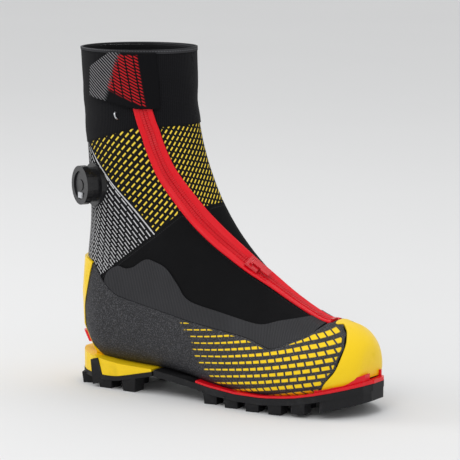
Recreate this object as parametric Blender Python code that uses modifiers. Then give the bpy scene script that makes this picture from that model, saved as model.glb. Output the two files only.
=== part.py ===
"""Right-foot mountaineering boot with a zipped gaiter, modelled in layers.

Working frame, in millimetres: +X towards the toe, -Y the outer (lateral) side of
a right foot, +Z up, with the floor at z = 0.  add_mesh() turns millimetres into
metres and moves the boot so that its bounding box is centred on the origin.
"""
import math

import bmesh
import bpy
import numpy as np
from mathutils import Matrix, Vector

MM = 0.001
CENTRE_X, CENTRE_Y = -4.25, -2.3       # middle of the whole boot's outline, in mm
GAP = 0.3                              # clearance between touching pieces
MERGE = 1e-6                           # merging distance of doubled vertices, in metres
OUTER_GRID = (0.75, 15.0)              # outer skins share this grid: sections, degrees
INNER_GRID = (0.9, 15.0)               # and the layers inside share this one

# ---------------------------------------------------------------- the boot's form
INSTEP_X, INSTEP_Z, INSTEP_R = 191.0, 298.0, 237.0     # the ridge is one long arc


def ridge(degrees):
    """Point (x, z) of the instep arc, from the toe box (24) to the shin (90)."""
    a = math.radians(degrees)
    return (INSTEP_X - INSTEP_R * math.sin(a), INSTEP_Z - INSTEP_R * math.cos(a))


# Sections from the toe tip to the top rim. Each one has: the ridge point (x, z),
# the sole or heel point (x, z), the centre y, the lateral and medial half widths,
# where the widest line sits, and the roundness of the ridge side and of the far side.
SECTIONS = [
    ((143, 52), (143, 38), 2.5, 9, 7, 0.50, 2.0, 2.0),
    ((141, 61.5), (142, 30.5), 2.5, 23, 16.5, 0.60, 2.0, 2.3),
    ((135, 69), (136.5, 26), 2.5, 34, 26.5, 0.62, 2.0, 2.8),
    ((125, 75.5), (126.5, 22.5), 2.5, 43, 36, 0.65, 2.0, 3.2),
    ((110, 79.6), (111, 19), 2, 49.5, 44, 0.68, 2.0, 3.6),
    (ridge(24.2), (93, 15.5), 1, 53, 48.5, 0.70, 1.95, 3.8),
    (ridge(33), (64, 12.5), 0, 54, 50, 0.72, 1.8, 4.0),
    (ridge(42.5), (33, 12), 0, 51, 45.5, 0.74, 1.65, 4.0),
    (ridge(52), (2, 14), 0, 47, 40, 0.72, 1.65, 3.8),
    (ridge(60.5), (-30, 19), 0, 43.5, 37.5, 0.68, 1.7, 3.6),
    (ridge(68), (-64, 22.5), 0, 41.5, 37.5, 0.62, 1.8, 3.6),
    (ridge(74.5), (-103, 24), 0, 41, 38.5, 0.58, 1.9, 3.6),
    (ridge(79.5), (-138, 28), 0, 41, 39.5, 0.54, 2.0, 3.2),
    (ridge(83.5), (-153, 55), 0, 41, 40, 0.52, 2.0, 2.6),
    (ridge(86.5), (-153, 100), 0, 41.5, 40.5, 0.50, 2.0, 2.3),
    (ridge(88.5), (-148.5, 150), 0, 42, 41, 0.50, 2.0, 2.2),
    (ridge(90), (-150.5, 200), 0, 43, 42, 0.50, 2.0, 2.15),
    ((-46.5, 305), (-154.5, 255), 0, 44, 43, 0.50, 2.0, 2.1),
    ((-47, 313), (-158, 311), 0, 45, 44, 0.50, 2.0, 2.1),
]
LAST = len(SECTIONS) - 1
FORM = np.array([[*near, *far, *rest] for near, far, *rest in SECTIONS])

# ------------------------------------------------- side-view lines (x, z), in mm
SOLE_LINE = [(-160, 30), (-138, 27.5), (-103, 24), (-64, 22.5), (-30, 19), (2, 14),
             (33, 12), (64, 12.5), (93, 15.5), (111, 19), (127, 23), (143, 31), (160, 40)]
CUFF_LINE = [(-180, 219.5), (-140, 228.5), (-85, 245.5), (-40, 249), (20, 252)]
KNIT_LINE = [(-180, 61.7), (-121, 105), (-60, 150), (-38, 169), (20, 187)]
DIAGONAL = [(-140, 228.5), (-60, 150)]
RAND_TOP = [(-126, 115), (-116.5, 101.5), (-104, 91), (-92.5, 87.5), (-65, 82), (-25, 74.5),
            (8.5, 70), (41, 65.5), (58, 61), (70.5, 58), (85, 64.5), (98.5, 70.5), (106, 78)]
OVERLAY_TOP = [(-115.5, 101.5), (-112, 110), (-100, 117.5), (-87.5, 115), (-70, 125.5),
               (-60, 124.5), (-47, 119), (-34.5, 105.5), (-22, 92.5), (11, 85), (51, 77.5),
               (69, 81), (92, 84), (105, 84)]
TOE_CAP_EDGE = [(103, 100), (110, 80), (119, 77), (127, 71.5), (131.5, 61), (129, 44),
                (119, 30), (113, 20)]
HEEL_STAY_EDGE = [(-129, 118), (-134, 104.5), (-139, 89.5), (-144, 74.5), (-146, 54.5),
                  (-136.5, 38.5), (-128, 29)]
STRAP_OUTLINE = [(-126, 273), (-124.5, 297), (-103, 309.5), (-40, 309.5), (-40, 262),
                 (-67, 263.5), (-79, 263.5), (-95, 267)]
TOP_BAND_Z = 307.5                     # the binding starts here, under the rim
SHELL_TOP_Z, TONGUE_TOP_Z, LINER_TOP_Z = 240.0, 250.0, 262.0

# ------------------------------------ the sole's outline: half widths against x
OUTLINE_X = [-160, -154, -146, -135, -115, -90, -60, -30, 2, 33, 64, 93, 112, 128, 140, 147, 151]
LATERAL_Y = [8, 19, 27, 34, 39, 41, 40, 42, 47, 53, 56, 55, 50.5, 43, 32, 21, 9]
MEDIAL_Y = [8, 18, 26, 32.5, 37, 38.5, 36, 35, 38.5, 45, 51.5, 51, 46, 38, 27, 18, 10]

# -------------------------------------------------------------- zip, dial, strap
# The zip's centre line on the form: (section, angle) from the toe end to the rim.
ZIP_ROUTE = [(4.0, 4.5), (5.2, 1.5), (6.3, 6.5), (7.3, 17.5), (8.6, 30.0), (9.9, 39.5),
             (11.2, 45.5), (12.3, 48.5), (13.4, 52.5), (15.3, 62.0), (18.0, 69.0)]
ZIP_HALF = 8.0                         # half the width of the zip tapes
ZIP_FROM, ZIP_TO = 4.1, 17.98          # sections where the zip starts and ends
SLIDER_SECTION = 7.15
DIAL_SECTION, DIAL_ANGLE = 15.34, 128.0
STRAP_FRONT, STRAP_END = 45.0, 121.0   # angles round the leg, in degrees

PARTS = bpy.data.collections.new("mountaineering_boot")
CUTTERS = bpy.data.collections.new("cutters")

BLACK = (0.012, 0.012, 0.014)
CHARCOAL = (0.045, 0.046, 0.052)
YELLOW = (0.90, 0.62, 0.015)
RED = (0.72, 0.016, 0.022)
GREY = (0.50, 0.50, 0.53)


# ------------------------------------------------------------------ basic helpers
def clear_scene():
    """Remove what the start-up file holds and add the two collections."""
    for obj in list(bpy.data.objects):
        bpy.data.objects.remove(obj, do_unlink=True)
    bpy.context.scene.collection.children.link(PARTS)
    bpy.context.scene.collection.children.link(CUTTERS)


def material(obj, colour, roughness, metallic=0.0):
    """Give obj a Principled material of its own."""
    mat = bpy.data.materials.new(obj.name)
    mat.use_nodes = True
    shader = mat.node_tree.nodes["Principled BSDF"]
    shader.inputs["Base Color"].default_value = (*colour, 1.0)
    shader.inputs["Roughness"].default_value = roughness
    shader.inputs["Metallic"].default_value = metallic
    obj.data.materials.clear()
    obj.data.materials.append(mat)
    return obj


def to_world(points):
    """Working millimetres to metres in the boot's final frame."""
    return (np.asarray(points, float) - (CENTRE_X, CENTRE_Y, 0.0)) * MM


def add_object(name, mesh, collection=PARTS):
    """Link a mesh whose vertices are already in metres."""
    obj = bpy.data.objects.new(name, mesh)
    collection.objects.link(obj)
    if collection is CUTTERS:
        obj.hide_render = True
        obj.display_type = "WIRE"
    return obj


def add_mesh(name, points, faces, collection=PARTS):
    """Object from vertices in working millimetres."""
    mesh = bpy.data.meshes.new(name)
    mesh.from_pydata(to_world(points).tolist(), [], faces)
    mesh.update()
    return add_object(name, mesh, collection)


def from_bmesh(name, bm, frame, collection=PARTS):
    """Object from a bmesh in millimetres, placed by a 4x4 frame in millimetres."""
    bmesh.ops.recalc_face_normals(bm, faces=bm.faces)
    bm.transform(frame)
    mesh = bpy.data.meshes.new(name)
    bm.to_mesh(mesh)
    bm.free()
    points = np.array([v.co for v in mesh.vertices])
    for vertex, place in zip(mesh.vertices, to_world(points)):
        vertex.co = place
    return add_object(name, mesh, collection)


def boolean(obj, cutter, operation="DIFFERENCE"):
    """Add an exact Boolean modifier."""
    mod = obj.modifiers.new(cutter.name, "BOOLEAN")
    mod.solver = "EXACT"
    mod.operation = operation
    mod.object = cutter
    return obj


def outward(obj):
    """Merge a mesh's doubled vertices and turn its faces outwards."""
    bm = bmesh.new()
    bm.from_mesh(obj.data)
    bmesh.ops.remove_doubles(bm, verts=bm.verts, dist=MERGE)
    bmesh.ops.recalc_face_normals(bm, faces=bm.faces)
    bm.to_mesh(obj.data)
    bm.free()
    return obj


def bake(obj):
    """Replace a mesh object's data with what its modifiers make of it."""
    graph = bpy.context.evaluated_depsgraph_get()
    mesh = bpy.data.meshes.new_from_object(obj.evaluated_get(graph))
    obj.modifiers.clear()
    obj.data = mesh
    return obj


def set_pivot(obj, pivot):
    """Move the origin to a point in working millimetres, on the joint's axis."""
    place = Vector(to_world(pivot))
    obj.data.transform(Matrix.Translation(-place))
    obj.location = place
    return obj


def frame_at(origin, x_axis, z_axis):
    """Frame with its z along z_axis and its x as near x_axis as it can be."""
    z = Vector(z_axis).normalized()
    y = z.cross(Vector(x_axis)).normalized()
    x = y.cross(z)
    frame = Matrix((x, y, z)).transposed().to_4x4()
    frame.translation = Vector(origin)
    return frame


def block(name, size, frame, collection=PARTS, taper=1.0):
    """Box centred on the frame; its top face is scaled by taper."""
    bm = bmesh.new()
    bmesh.ops.create_cube(bm, size=1.0)
    bmesh.ops.scale(bm, vec=size, verts=bm.verts)
    for vertex in bm.verts:
        if vertex.co.z > 0.0:
            vertex.co.x *= taper
            vertex.co.y *= taper
    return from_bmesh(name, bm, frame, collection)


def cylinder(name, radius, low, high, frame, collection=PARTS, sides=32, top_radius=None):
    """Cylinder or cone from z = low to z = high in the frame."""
    bm = bmesh.new()
    bmesh.ops.create_cone(bm, cap_ends=True, segments=sides, radius1=radius,
                          radius2=top_radius or radius, depth=high - low)
    bmesh.ops.translate(bm, vec=(0.0, 0.0, (low + high) / 2.0), verts=bm.verts)
    return from_bmesh(name, bm, frame, collection)


def prism(name, outline, y_from=-90.0, y_to=90.0):
    """Cutter: a side-view outline (x, z) run straight across the boot."""
    curve = bpy.data.curves.new(name, "CURVE")
    curve.dimensions = "2D"
    curve.fill_mode = "BOTH"
    curve.extrude = (y_to - y_from) / 2.0 * MM
    spline = curve.splines.new("POLY")
    spline.points.add(len(outline) - 1)
    middle = (y_from + y_to) / 2.0
    for point, (x, z) in zip(spline.points, outline):
        wx, _, wz = to_world((x, middle, z))
        point.co = (wx, wz, 0.0, 1.0)
    spline.use_cyclic_u = True
    upright = Matrix.Rotation(math.pi / 2.0, 4, "X")
    upright.translation = Vector((0.0, to_world((0.0, middle, 0.0))[1], 0.0))
    obj = bpy.data.objects.new(name, curve)
    CUTTERS.objects.link(obj)
    graph = bpy.context.evaluated_depsgraph_get()
    mesh = bpy.data.meshes.new_from_object(obj.evaluated_get(graph))
    bpy.data.objects.remove(obj)
    mesh.transform(upright)
    return outward(add_object(name, mesh, CUTTERS))


def raised(line, dz):
    """A side-view line moved up by dz."""
    return [(x, z + dz) for x, z in line]


def sole_z(x):
    """Height of the upper's underside at x."""
    line = np.array(SOLE_LINE)
    return np.interp(x, line[:, 0], line[:, 1])


# ------------------------------------------------------------- the lofted surface
def sections_at(s):
    """Section values at s, smoothly interpolated (Catmull-Rom)."""
    s = np.clip(np.asarray(s, float), 0.0, LAST)
    k = np.clip(np.floor(s).astype(int), 0, LAST - 1)
    t = (s - k)[..., None]
    p0, p1 = FORM[np.maximum(k - 1, 0)], FORM[k]
    p2, p3 = FORM[k + 1], FORM[np.minimum(k + 2, LAST)]
    return 0.5 * (2 * p1 + (p2 - p0) * t + (2 * p0 - 5 * p1 + 4 * p2 - p3) * t ** 2
                  + (3 * p1 - p0 - 3 * p2 + p3) * t ** 3)


def surface(s, angle):
    """Point of the boot's outer form: angle 0 ridge, 90 lateral, 180 sole or heel."""
    s, angle = np.broadcast_arrays(np.asarray(s, float), np.asarray(angle, float))
    nx, nz, fx, fz, yc, lateral, medial, widest, ridge_n, far_n = np.moveaxis(
        sections_at(s), -1, 0)
    c, w = np.cos(np.radians(angle)), np.sin(np.radians(angle))
    power = 2.0 / np.where(c > 0, ridge_n, far_n)
    a, b = np.abs(c) ** power, np.abs(w) ** power
    u = np.where(c > 0, widest * (1 - a), widest + (1 - widest) * a)
    y = yc + np.where(w > 0, -lateral, medial) * b
    return np.stack([nx + (fx - nx) * u, y, nz + (fz - nz) * u], -1)


def normal(s, angle):
    """Outward unit normal of the form."""
    s = np.clip(s, 0.02, LAST - 0.02)
    along = surface(s + 0.02, angle) - surface(s - 0.02, angle)
    around = surface(s, angle + 1.0) - surface(s, angle - 1.0)
    n = np.cross(along, around)
    return n / np.linalg.norm(n, axis=-1, keepdims=True)


def offset_point(s, angle, height):
    """Point at a height above the form, along its normal."""
    s, angle = np.asarray(s, float), np.asarray(angle, float)
    return surface(s, angle) + normal(s, angle) * np.asarray(height)[..., None]


def layer(name, top, thickness, s_range, angles=(0.0, 360.0), grid=OUTER_GRID, floor=None,
          collection=PARTS, close_toe=False, close_rim=False):
    """Skin over the form: an open lofted sheet at height top, thickened inwards.

    top is a height or a function of section and angle; floor keeps the sheet that
    far above the sole line. close_toe and close_rim fill the sheet's end rings.
    """
    start, end = angles
    steps = round((s_range[1] - s_range[0]) / grid[0])
    turns = round((end - start) / grid[1])
    closed = end - start >= 360.0
    s = np.linspace(*s_range, steps + 1)
    around = np.linspace(start, end, turns + 1)[:turns if closed else None]
    ss, aa = np.meshgrid(s, around, indexing="ij")
    height = top(ss, aa) if callable(top) else np.full(ss.shape, float(top))
    points = offset_point(ss, aa, height)
    if floor is not None:
        points[..., 2] = np.maximum(points[..., 2], sole_z(points[..., 0]) + floor)
    rows, columns = ss.shape
    points = list(points.reshape(-1, 3))
    faces = []
    for i in range(rows - 1):
        for j in range(columns if closed else columns - 1):
            k = (j + 1) % columns
            a, b = i * columns + j, (i + 1) * columns + j
            c, d = (i + 1) * columns + k, i * columns + k
            faces += [(a, b, c), (a, c, d)]
    if close_toe:
        fan(points, faces, range(columns))
    if close_rim:
        fan(points, faces, reversed(range((rows - 1) * columns, rows * columns)))
    obj = add_mesh(name, points, faces, collection)
    if thickness:
        mod = obj.modifiers.new("thickness", "SOLIDIFY")
        mod.thickness = thickness * MM
        mod.offset = -1.0
    return obj


def fan(points, faces, ring):
    """Close a ring of vertices with triangles to their middle."""
    ring = list(ring)
    points.append(np.mean([points[i] for i in ring], axis=0))
    for a, b in zip(ring, ring[1:] + ring[:1]):
        faces.append((a, b, len(points) - 1))


def slab(name, x_from, x_to, bottom, top, inset=0.0, steps=28, collection=PARTS):
    """Flat piece of the sole: its outline less inset, between two height functions."""
    t = np.linspace(0.0, 1.0, steps + 1)
    x = x_from + (x_to - x_from) * (1 - np.cos(math.pi * t)) / 2.0
    lateral = np.interp(x, OUTLINE_X, LATERAL_Y) - inset
    medial = np.interp(x, OUTLINE_X, MEDIAL_Y) - inset
    points = []
    for i, here in enumerate(x):
        for y in (-lateral[i], medial[i]):
            points += [(here, y, bottom(here)), (here, y, top(here))]
    faces = [(0, 1, 3, 2), (4 * steps, 4 * steps + 2, 4 * steps + 3, 4 * steps + 1)]
    for i in range(steps):
        a, b = 4 * i, 4 * i + 4
        faces += [(a, a + 2, b + 2, b), (a + 1, b + 1, b + 3, a + 3),
                  (a, b, b + 1, a + 1), (a + 2, a + 3, b + 3, b + 2)]
    obj = add_mesh(name, points, faces, collection)
    return outward(obj)


# ---------------------------------------------------------------------- the sole
def tread_z(x):
    """Height of the lug tips: flat on the floor, then the toe spring."""
    return 15.0 * max(0.0, (x - 62.0) / 90.0) ** 1.7


ARCH_BACK = -62.0                      # the forefoot outsole reaches back under the arch
PLATE_THICK = 6.0


def plate_top(x):
    """Top of the black forefoot outsole."""
    return float(np.interp(x, [-62, -30, 2, 33, 64, 93, 111, 127, 151],
                           [23.4, 19.8, 15.4, 13.8, 14.2, 17.0, 20.2, 23.6, 29.0]))


def join_lugs(plate, lugs):
    """Unite separate lug blocks with their plate as one body."""
    for lug in lugs:
        boolean(plate, lug, "UNION")
    return plate


def lug(name, x, y, length, width, top, lean=0.0):
    """Tapered lug from just above the floor line up into the plate."""
    low = tread_z(x)
    frame = Matrix.Translation((x, y, (low + top) / 2.0)) @ Matrix.Rotation(lean, 4, "Z")
    frame = frame @ Matrix.Rotation(math.pi, 4, "X")
    return block(name, (length, width, top - low), frame, CUTTERS, taper=0.86)


def forefoot_outsole():
    """Black forefoot tread: a rocker plate, edge lugs, centre lugs and a toe block."""
    plate = slab("outsole_forefoot", ARCH_BACK, 151.0, lambda x: plate_top(x) - PLATE_THICK,
                 plate_top, steps=34)
    lugs = []
    for i, x in enumerate((2.0, 27.0, 51.0, 75.0, 98.0)):
        lateral = float(np.interp(x, OUTLINE_X, LATERAL_Y))
        medial = float(np.interp(x, OUTLINE_X, MEDIAL_Y))
        top = plate_top(x) - 3.0
        lugs.append(lug("lug_lateral_%d" % i, x, 9.0 - lateral, 14.0, 16.0, top, 0.12))
        lugs.append(lug("lug_medial_%d" % i, x, medial - 9.0, 14.0, 16.0, top, -0.12))
    for i, x in enumerate((14.0, 39.0, 63.0, 87.0)):
        for side in (-1, 1):
            top = plate_top(x) - 3.0
            lugs.append(lug("lug_centre_%d_%d" % (i, side), x, side * 13.0 - 1.0, 12.0, 13.0,
                            top, side * 0.5))
    toe = slab("lug_toe", 118.0, 150.2, lambda x: tread_z(x) - 1.0, lambda x: plate_top(x) - 2.0,
               inset=1.0, steps=10, collection=CUTTERS)
    slot = block("toe_slot", (60.0, 7.0, 16.0), Matrix.Translation((112.0, 0.0, 8.0)), CUTTERS)
    boolean(toe, slot)
    boolean(join_lugs(plate, lugs + [toe]), FORM_CUTTER_PROUD)
    return material(plate, BLACK, 0.75)


HEEL_FRONT = -64.0
WELT_Z = 44.0


def heel_top(x):
    """Top of the black heel tread, which rises to the arch at its front."""
    return float(np.interp(x, [-160, -120, -104, -64], [13.2, 12.0, 12.6, 21.4]))


def heel_outsole():
    """Black heel tread with edge lugs, a centre lug and pillars up the wedge."""
    plate = slab("outsole_heel", -160.0, HEEL_FRONT, lambda x: heel_top(x) - 4.0, heel_top)
    lugs = []
    for i, x in enumerate((-146.0, -118.0, -90.0)):
        lateral = float(np.interp(x, OUTLINE_X, LATERAL_Y))
        medial = float(np.interp(x, OUTLINE_X, MEDIAL_Y))
        lean = 0.35 if i == 0 else 0.0
        top = heel_top(x) - 2.5
        lugs.append(lug("heel_lateral_%d" % i, x, 9.5 - lateral, 15.0, 17.0, top, lean))
        lugs.append(lug("heel_medial_%d" % i, x, medial - 9.5, 15.0, 17.0, top, -lean))
    lugs.append(lug("heel_centre", -104.0, -1.0, 14.0, 15.0, 9.5))
    lugs.append(lug("heel_centre_back", -132.0, -1.0, 12.0, 15.0, 9.5))
    for side in (-1, 1):
        lugs.append(pillar("pillar_%d" % side, side, 0.0))
    join_lugs(plate, lugs)
    return material(plate, BLACK, 0.75)


def pillar(name, side, clearance):
    """Sloping block that rises from the heel tread over the side of the wedge."""
    lateral = float(np.interp(-128.0, OUTLINE_X, LATERAL_Y))
    medial = float(np.interp(-128.0, OUTLINE_X, MEDIAL_Y))
    edge = medial if side > 0 else -lateral
    frame = Matrix.Translation((-128.0, edge - side * 1.0, 15.0))
    frame = frame @ Matrix.Rotation(math.radians(-14.0), 4, "Y")
    grow = 2.0 * clearance
    return block(name, (13.0 + grow, 5.0 + grow, 23.0 + grow), frame, CUTTERS, taper=0.62)


def midsole_heel():
    """Yellow heel wedge with its crampon ledge and the stay up the back."""
    wedge = slab("midsole_heel", -160.0, HEEL_FRONT - 1.0, lambda x: heel_top(x) + GAP,
                 lambda x: float(sole_z(x)) + 1.2, inset=0.8)
    stay = layer("heel_stay_skin", 3.0, 4.4, (10.5, 15.0), (90.0, 270.0),
                 collection=CUTTERS)
    outline = HEEL_STAY_EDGE + [(-128.0, 22.0), (-175.0, 22.0), (-175.0, 121.0), (-140.0, 121.0)]
    boolean(stay, prism("heel_stay_outline", outline), "INTERSECT")
    boolean(wedge, bake(stay), "UNION")
    boolean(wedge, FORM_CUTTER)
    for side in (-1, 1):
        boolean(wedge, pillar("pillar_pocket_%d" % side, side, GAP))
    boolean(wedge, block("welt_pocket", (60.0, 46.0, 10.6),
                         Matrix.Translation((-160.0, 0.0, WELT_Z)), CUTTERS))
    return material(wedge, YELLOW, 0.45)


def heel_welt():
    """Red insert above the heel ledge, where a crampon's heel bail sits."""
    skin = layer("heel_welt", 5.5, 5.0, (12.0, 13.5), (135.0, 225.0))
    box = block("welt_box", (60.0, 45.4, 10.0), Matrix.Translation((-160.0, 0.0, WELT_Z)), CUTTERS)
    boolean(skin, box, "INTERSECT")
    return material(skin, RED, 0.4)


WELT_THIN = 1.9                        # the red band's thickness beside the forefoot


def welt_low(x):
    """Underside of the red forefoot welt."""
    return plate_top(x) + GAP


def toe_welt():
    """Red welt under the forefoot with the toe ledge and its notched upstand."""
    welt = slab("toe_welt", -14.0, 151.5, welt_low,
                lambda x: welt_low(x) + WELT_THIN + max(0.0, x - 100.0) * 0.03, inset=0.6)
    ledge = slab("toe_upstand", 112.0, 147.0, lambda x: welt_low(x) + 0.5,
                 lambda x: 25.5 + 0.36 * (x - 112.0), inset=4.5, steps=16, collection=CUTTERS)
    notch = block("toe_notch", (30.0, 20.0, 8.0), Matrix.Translation((150.0, 2.0, 36.0)), CUTTERS)
    boolean(welt, bake(boolean(ledge, notch)), "UNION")
    boolean(welt, FORM_CUTTER_PROUD)
    return material(welt, RED, 0.4)


def above_sole(rise):
    """Height function: this far above the upper's underside."""
    return lambda x: float(sole_z(x)) + rise


def sole_core():
    """Pieces inside the sole: foam midsole, shank, lasting board and footbed."""
    foam = slab("midsole_foam", -150.0, 140.0, above_sole(-8.0), above_sole(7.6), inset=1.0)
    boolean(foam, FORM_INSIDE, "INTERSECT")
    pocket = slab("shank_pocket", -110.6, 50.6, above_sole(5.6), above_sole(9.0), inset=27.4,
                  collection=CUTTERS)
    boolean(foam, pocket)
    material(foam, CHARCOAL, 0.9)
    shank = slab("shank", -110.0, 50.0, above_sole(5.9), above_sole(7.5), inset=28.0)
    material(shank, (0.02, 0.02, 0.02), 0.35)
    board = slab("lasting_board", -150.0, 140.0, above_sole(7.9), above_sole(9.6), inset=1.0)
    boolean(board, FORM_INSIDE, "INTERSECT")
    material(board, (0.35, 0.31, 0.24), 0.85)
    footbed = slab("footbed", -126.0, 102.0, above_sole(17.2), above_sole(20.4), inset=20.0)
    material(footbed, GREY, 0.9)


# -------------------------------------------------------------- skins of the foot
def side_skin(name, top, thickness, outline, side, colour, roughness):
    """A skin on one side of the foot, trimmed to a side-view outline."""
    angles = (0.0, 180.0) if side < 0 else (180.0, 360.0)
    skin = layer(name, top, thickness, (0.75, 15.0), angles)
    low, high = (-90.0, 0.8) if side < 0 else (1.2, 90.0)
    boolean(skin, prism(name + "_outline", outline, low, high), "INTERSECT")
    return material(skin, colour, roughness)


def rands():
    """Speckled laminate rand round the foot, one piece on each side."""
    back = [(x + GAP, z) for x, z in HEEL_STAY_EDGE]
    front = [(x - GAP, z) for x, z in TOE_CAP_EDGE[1:-1]]
    under = [(112.5, 21.0)] + [(x, z + 1.6) for x, z in reversed(SOLE_LINE[3:9])]
    under = under + [(-103.0, 25.6), (-127.0, 28.6)]
    outline = RAND_TOP + front + under + back[::-1]
    for name, side in (("rand_lateral", -1), ("rand_medial", 1)):
        skin = side_skin(name, 1.5, 1.2, outline, side, CHARCOAL, 0.7)
        boolean(skin, ZIP_SLOT)


def overlays():
    """Ribbed grey overlays above the rand, one on each side."""
    outline = OVERLAY_TOP + raised(RAND_TOP[::-1][:-1], GAP + 0.1)
    for name, side in (("overlay_lateral", -1), ("overlay_medial", 1)):
        skin = side_skin(name, 1.2, 0.9, outline, side, (0.07, 0.07, 0.08), 0.6)
        boolean(skin, ZIP_SLOT)


def toe_cap():
    """Yellow moulded toe cap."""
    cap = layer("toe_cap", 1.9, 1.6, (0.0, 5.25), close_toe=True)
    outline = TOE_CAP_EDGE + [(128.0, 25.5), (139.0, 31.0), (150.0, 38.0), (170.0, 40.0),
                              (170.0, 100.0)]
    boolean(cap, prism("toe_cap_outline", outline), "INTERSECT")
    boolean(cap, ZIP_SLOT)
    return material(cap, YELLOW, 0.4)


# ------------------------------------------------------------------------ gaiter
FABRIC = 1.0


def gaiter_piece(name, s_range, outline, colour, top=0.0, roughness=0.95):
    """Part of the gaiter's fabric, trimmed to a side-view outline and the zip slot."""
    piece = layer(name, top, FABRIC + top, s_range, close_toe=s_range[0] == 0.0)
    boolean(piece, prism(name + "_outline", outline), "INTERSECT")
    boolean(piece, ZIP_SLOT)
    return material(piece, colour, roughness)


def gaiter():
    """Vamp, two knit fronts, knit back, cuff and the binding at the rim."""
    vamp = raised(KNIT_LINE, -GAP / 2.0) + [(180.0, 180.0), (180.0, -20.0), (-180.0, -20.0)]
    gaiter_piece("gaiter_vamp", (0.0, 15.0), vamp, BLACK)
    (ax, az), (bx, bz) = DIAGONAL
    front = [(ax + GAP, az - GAP), (bx + GAP, bz + GAP)] + raised(KNIT_LINE[3:], GAP / 2.0)
    front = front + raised(CUFF_LINE[:1:-1], -GAP)
    beside = rectangle(-75.0, -1.0, -50.0, 10.0)
    zip_side = sweep("lateral_of_zip", zip_path(46), lambda i: beside, CUTTERS)
    for name, keep in (("knit_front_lateral", "INTERSECT"), ("knit_front_medial", "DIFFERENCE")):
        piece = gaiter_piece(name, (8.25, 17.25), front, (0.05, 0.045, 0.01))
        boolean(piece, zip_side, keep)
    back = [(ax - GAP, az - GAP), (-180.0, 219.0)] + raised(KNIT_LINE[:2], GAP / 2.0)
    back = back + [(bx - GAP, bz)]
    piece = gaiter_piece("knit_back", (9.75, 17.25), back, (0.20, 0.20, 0.21))
    for index in range(2):
        boolean(piece, cable_port(index, 1.6))
    cuff = raised(CUFF_LINE, GAP / 2.0) + [(20.0, TOP_BAND_Z), (-180.0, TOP_BAND_Z)]
    gaiter_piece("cuff", (10.5, 18.0), cuff, BLACK, top=0.6)
    rim = [(-180.0, TOP_BAND_Z + GAP), (20.0, TOP_BAND_Z + GAP), (20.0, 330.0), (-180.0, 330.0)]
    gaiter_piece("cuff_binding", (16.5, 18.0), rim, (0.03, 0.03, 0.035), top=1.0)


# --------------------------------------------------------------------------- zip
def zip_angle(s):
    """Angle round section s at which the zip's centre line lies."""
    route = smooth(np.array(ZIP_ROUTE), 120)
    return np.interp(s, route[:, 0], route[:, 1])


def zip_path(count, first=ZIP_FROM, last=ZIP_TO):
    """Points, across directions and normals along the zip, toe end first."""
    s = np.linspace(first, last, 400)
    angles = zip_angle(s)
    points = surface(s, angles)
    normals = normal(s, angles)
    length = np.concatenate([[0.0], np.cumsum(np.linalg.norm(np.diff(points, axis=0), axis=1))])
    even = np.linspace(0.0, length[-1], count)
    points = np.stack([np.interp(even, length, points[:, i]) for i in range(3)], -1)
    normals = np.stack([np.interp(even, length, normals[:, i]) for i in range(3)], -1)
    tangent = np.gradient(points, axis=0)
    tangent /= np.linalg.norm(tangent, axis=1, keepdims=True)
    across = np.cross(tangent, normals)
    across /= np.linalg.norm(across, axis=1, keepdims=True)
    return points, across, np.cross(across, tangent)


def sweep(name, path, profile, collection=PARTS):
    """Closed solid with a (across, height) profile at every point of the path."""
    points, across, up = path
    count = len(profile(0))
    verts, faces = [], []
    for i in range(len(points)):
        for a, h in profile(i):
            verts.append(points[i] + across[i] * a + up[i] * h)
    for i in range(len(points) - 1):
        for j in range(count):
            k = (j + 1) % count
            faces.append((i * count + j, i * count + k, (i + 1) * count + k,
                          (i + 1) * count + j))
    faces.append(tuple(reversed(range(count))))
    faces.append(tuple(range((len(points) - 1) * count, len(points) * count)))
    obj = add_mesh(name, verts, faces, collection)
    return outward(obj)


def rectangle(a0, a1, h0, h1):
    """Profile of a flat strip."""
    return [(a0, h0), (a1, h0), (a1, h1), (a0, h1)]


TAPE_LOW, TAPE_HIGH = -0.6, 1.2
TEETH_HALF, TEETH_LOW, TEETH_HIGH = 2.4, 1.6, 2.7
TOOTH_PITCH = 6.0


def zip_parts():
    """Two tapes, the closed tooth chain, end stop, slider and puller."""
    path = zip_path(46)
    slots = ((-ZIP_HALF, -0.2), (0.2, ZIP_HALF))
    for name, (a0, a1) in zip(("zip_tape_lateral", "zip_tape_medial"), slots):
        strip = rectangle(a0, a1, TAPE_LOW, TAPE_HIGH)
        material(sweep(name, path, lambda i, strip=strip: strip), RED, 0.5)
    length = float(np.linalg.norm(np.diff(path[0], axis=0), axis=1).sum())
    count = 2 * int(length / TOOTH_PITCH)
    chain = zip_path(count, ZIP_FROM + 0.25, ZIP_TO - 0.02)

    def tooth(i):
        half = TEETH_HALF if i % 2 else TEETH_HALF - 0.5
        high = TEETH_HIGH if i % 2 else TEETH_HIGH - 0.5
        return rectangle(-half, half, TEETH_LOW, high)
    material(sweep("zip_teeth", chain, tooth), (0.55, 0.02, 0.03), 0.45)
    stop = zip_path(3, ZIP_FROM + 0.03, ZIP_FROM + 0.2)
    material(sweep("zip_stop", stop, lambda i: rectangle(-3.4, 3.4, TEETH_LOW, 3.2)), RED, 0.3)
    slider_and_puller()


def slider_frame():
    """Frame on the zip at the slider: x along the zip to the toe, z outwards."""
    s = SLIDER_SECTION
    here = surface(s, zip_angle(s))
    ahead = surface(s - 0.1, zip_angle(s - 0.1))
    return frame_at(here, ahead - here, normal(s, zip_angle(s)))


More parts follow.
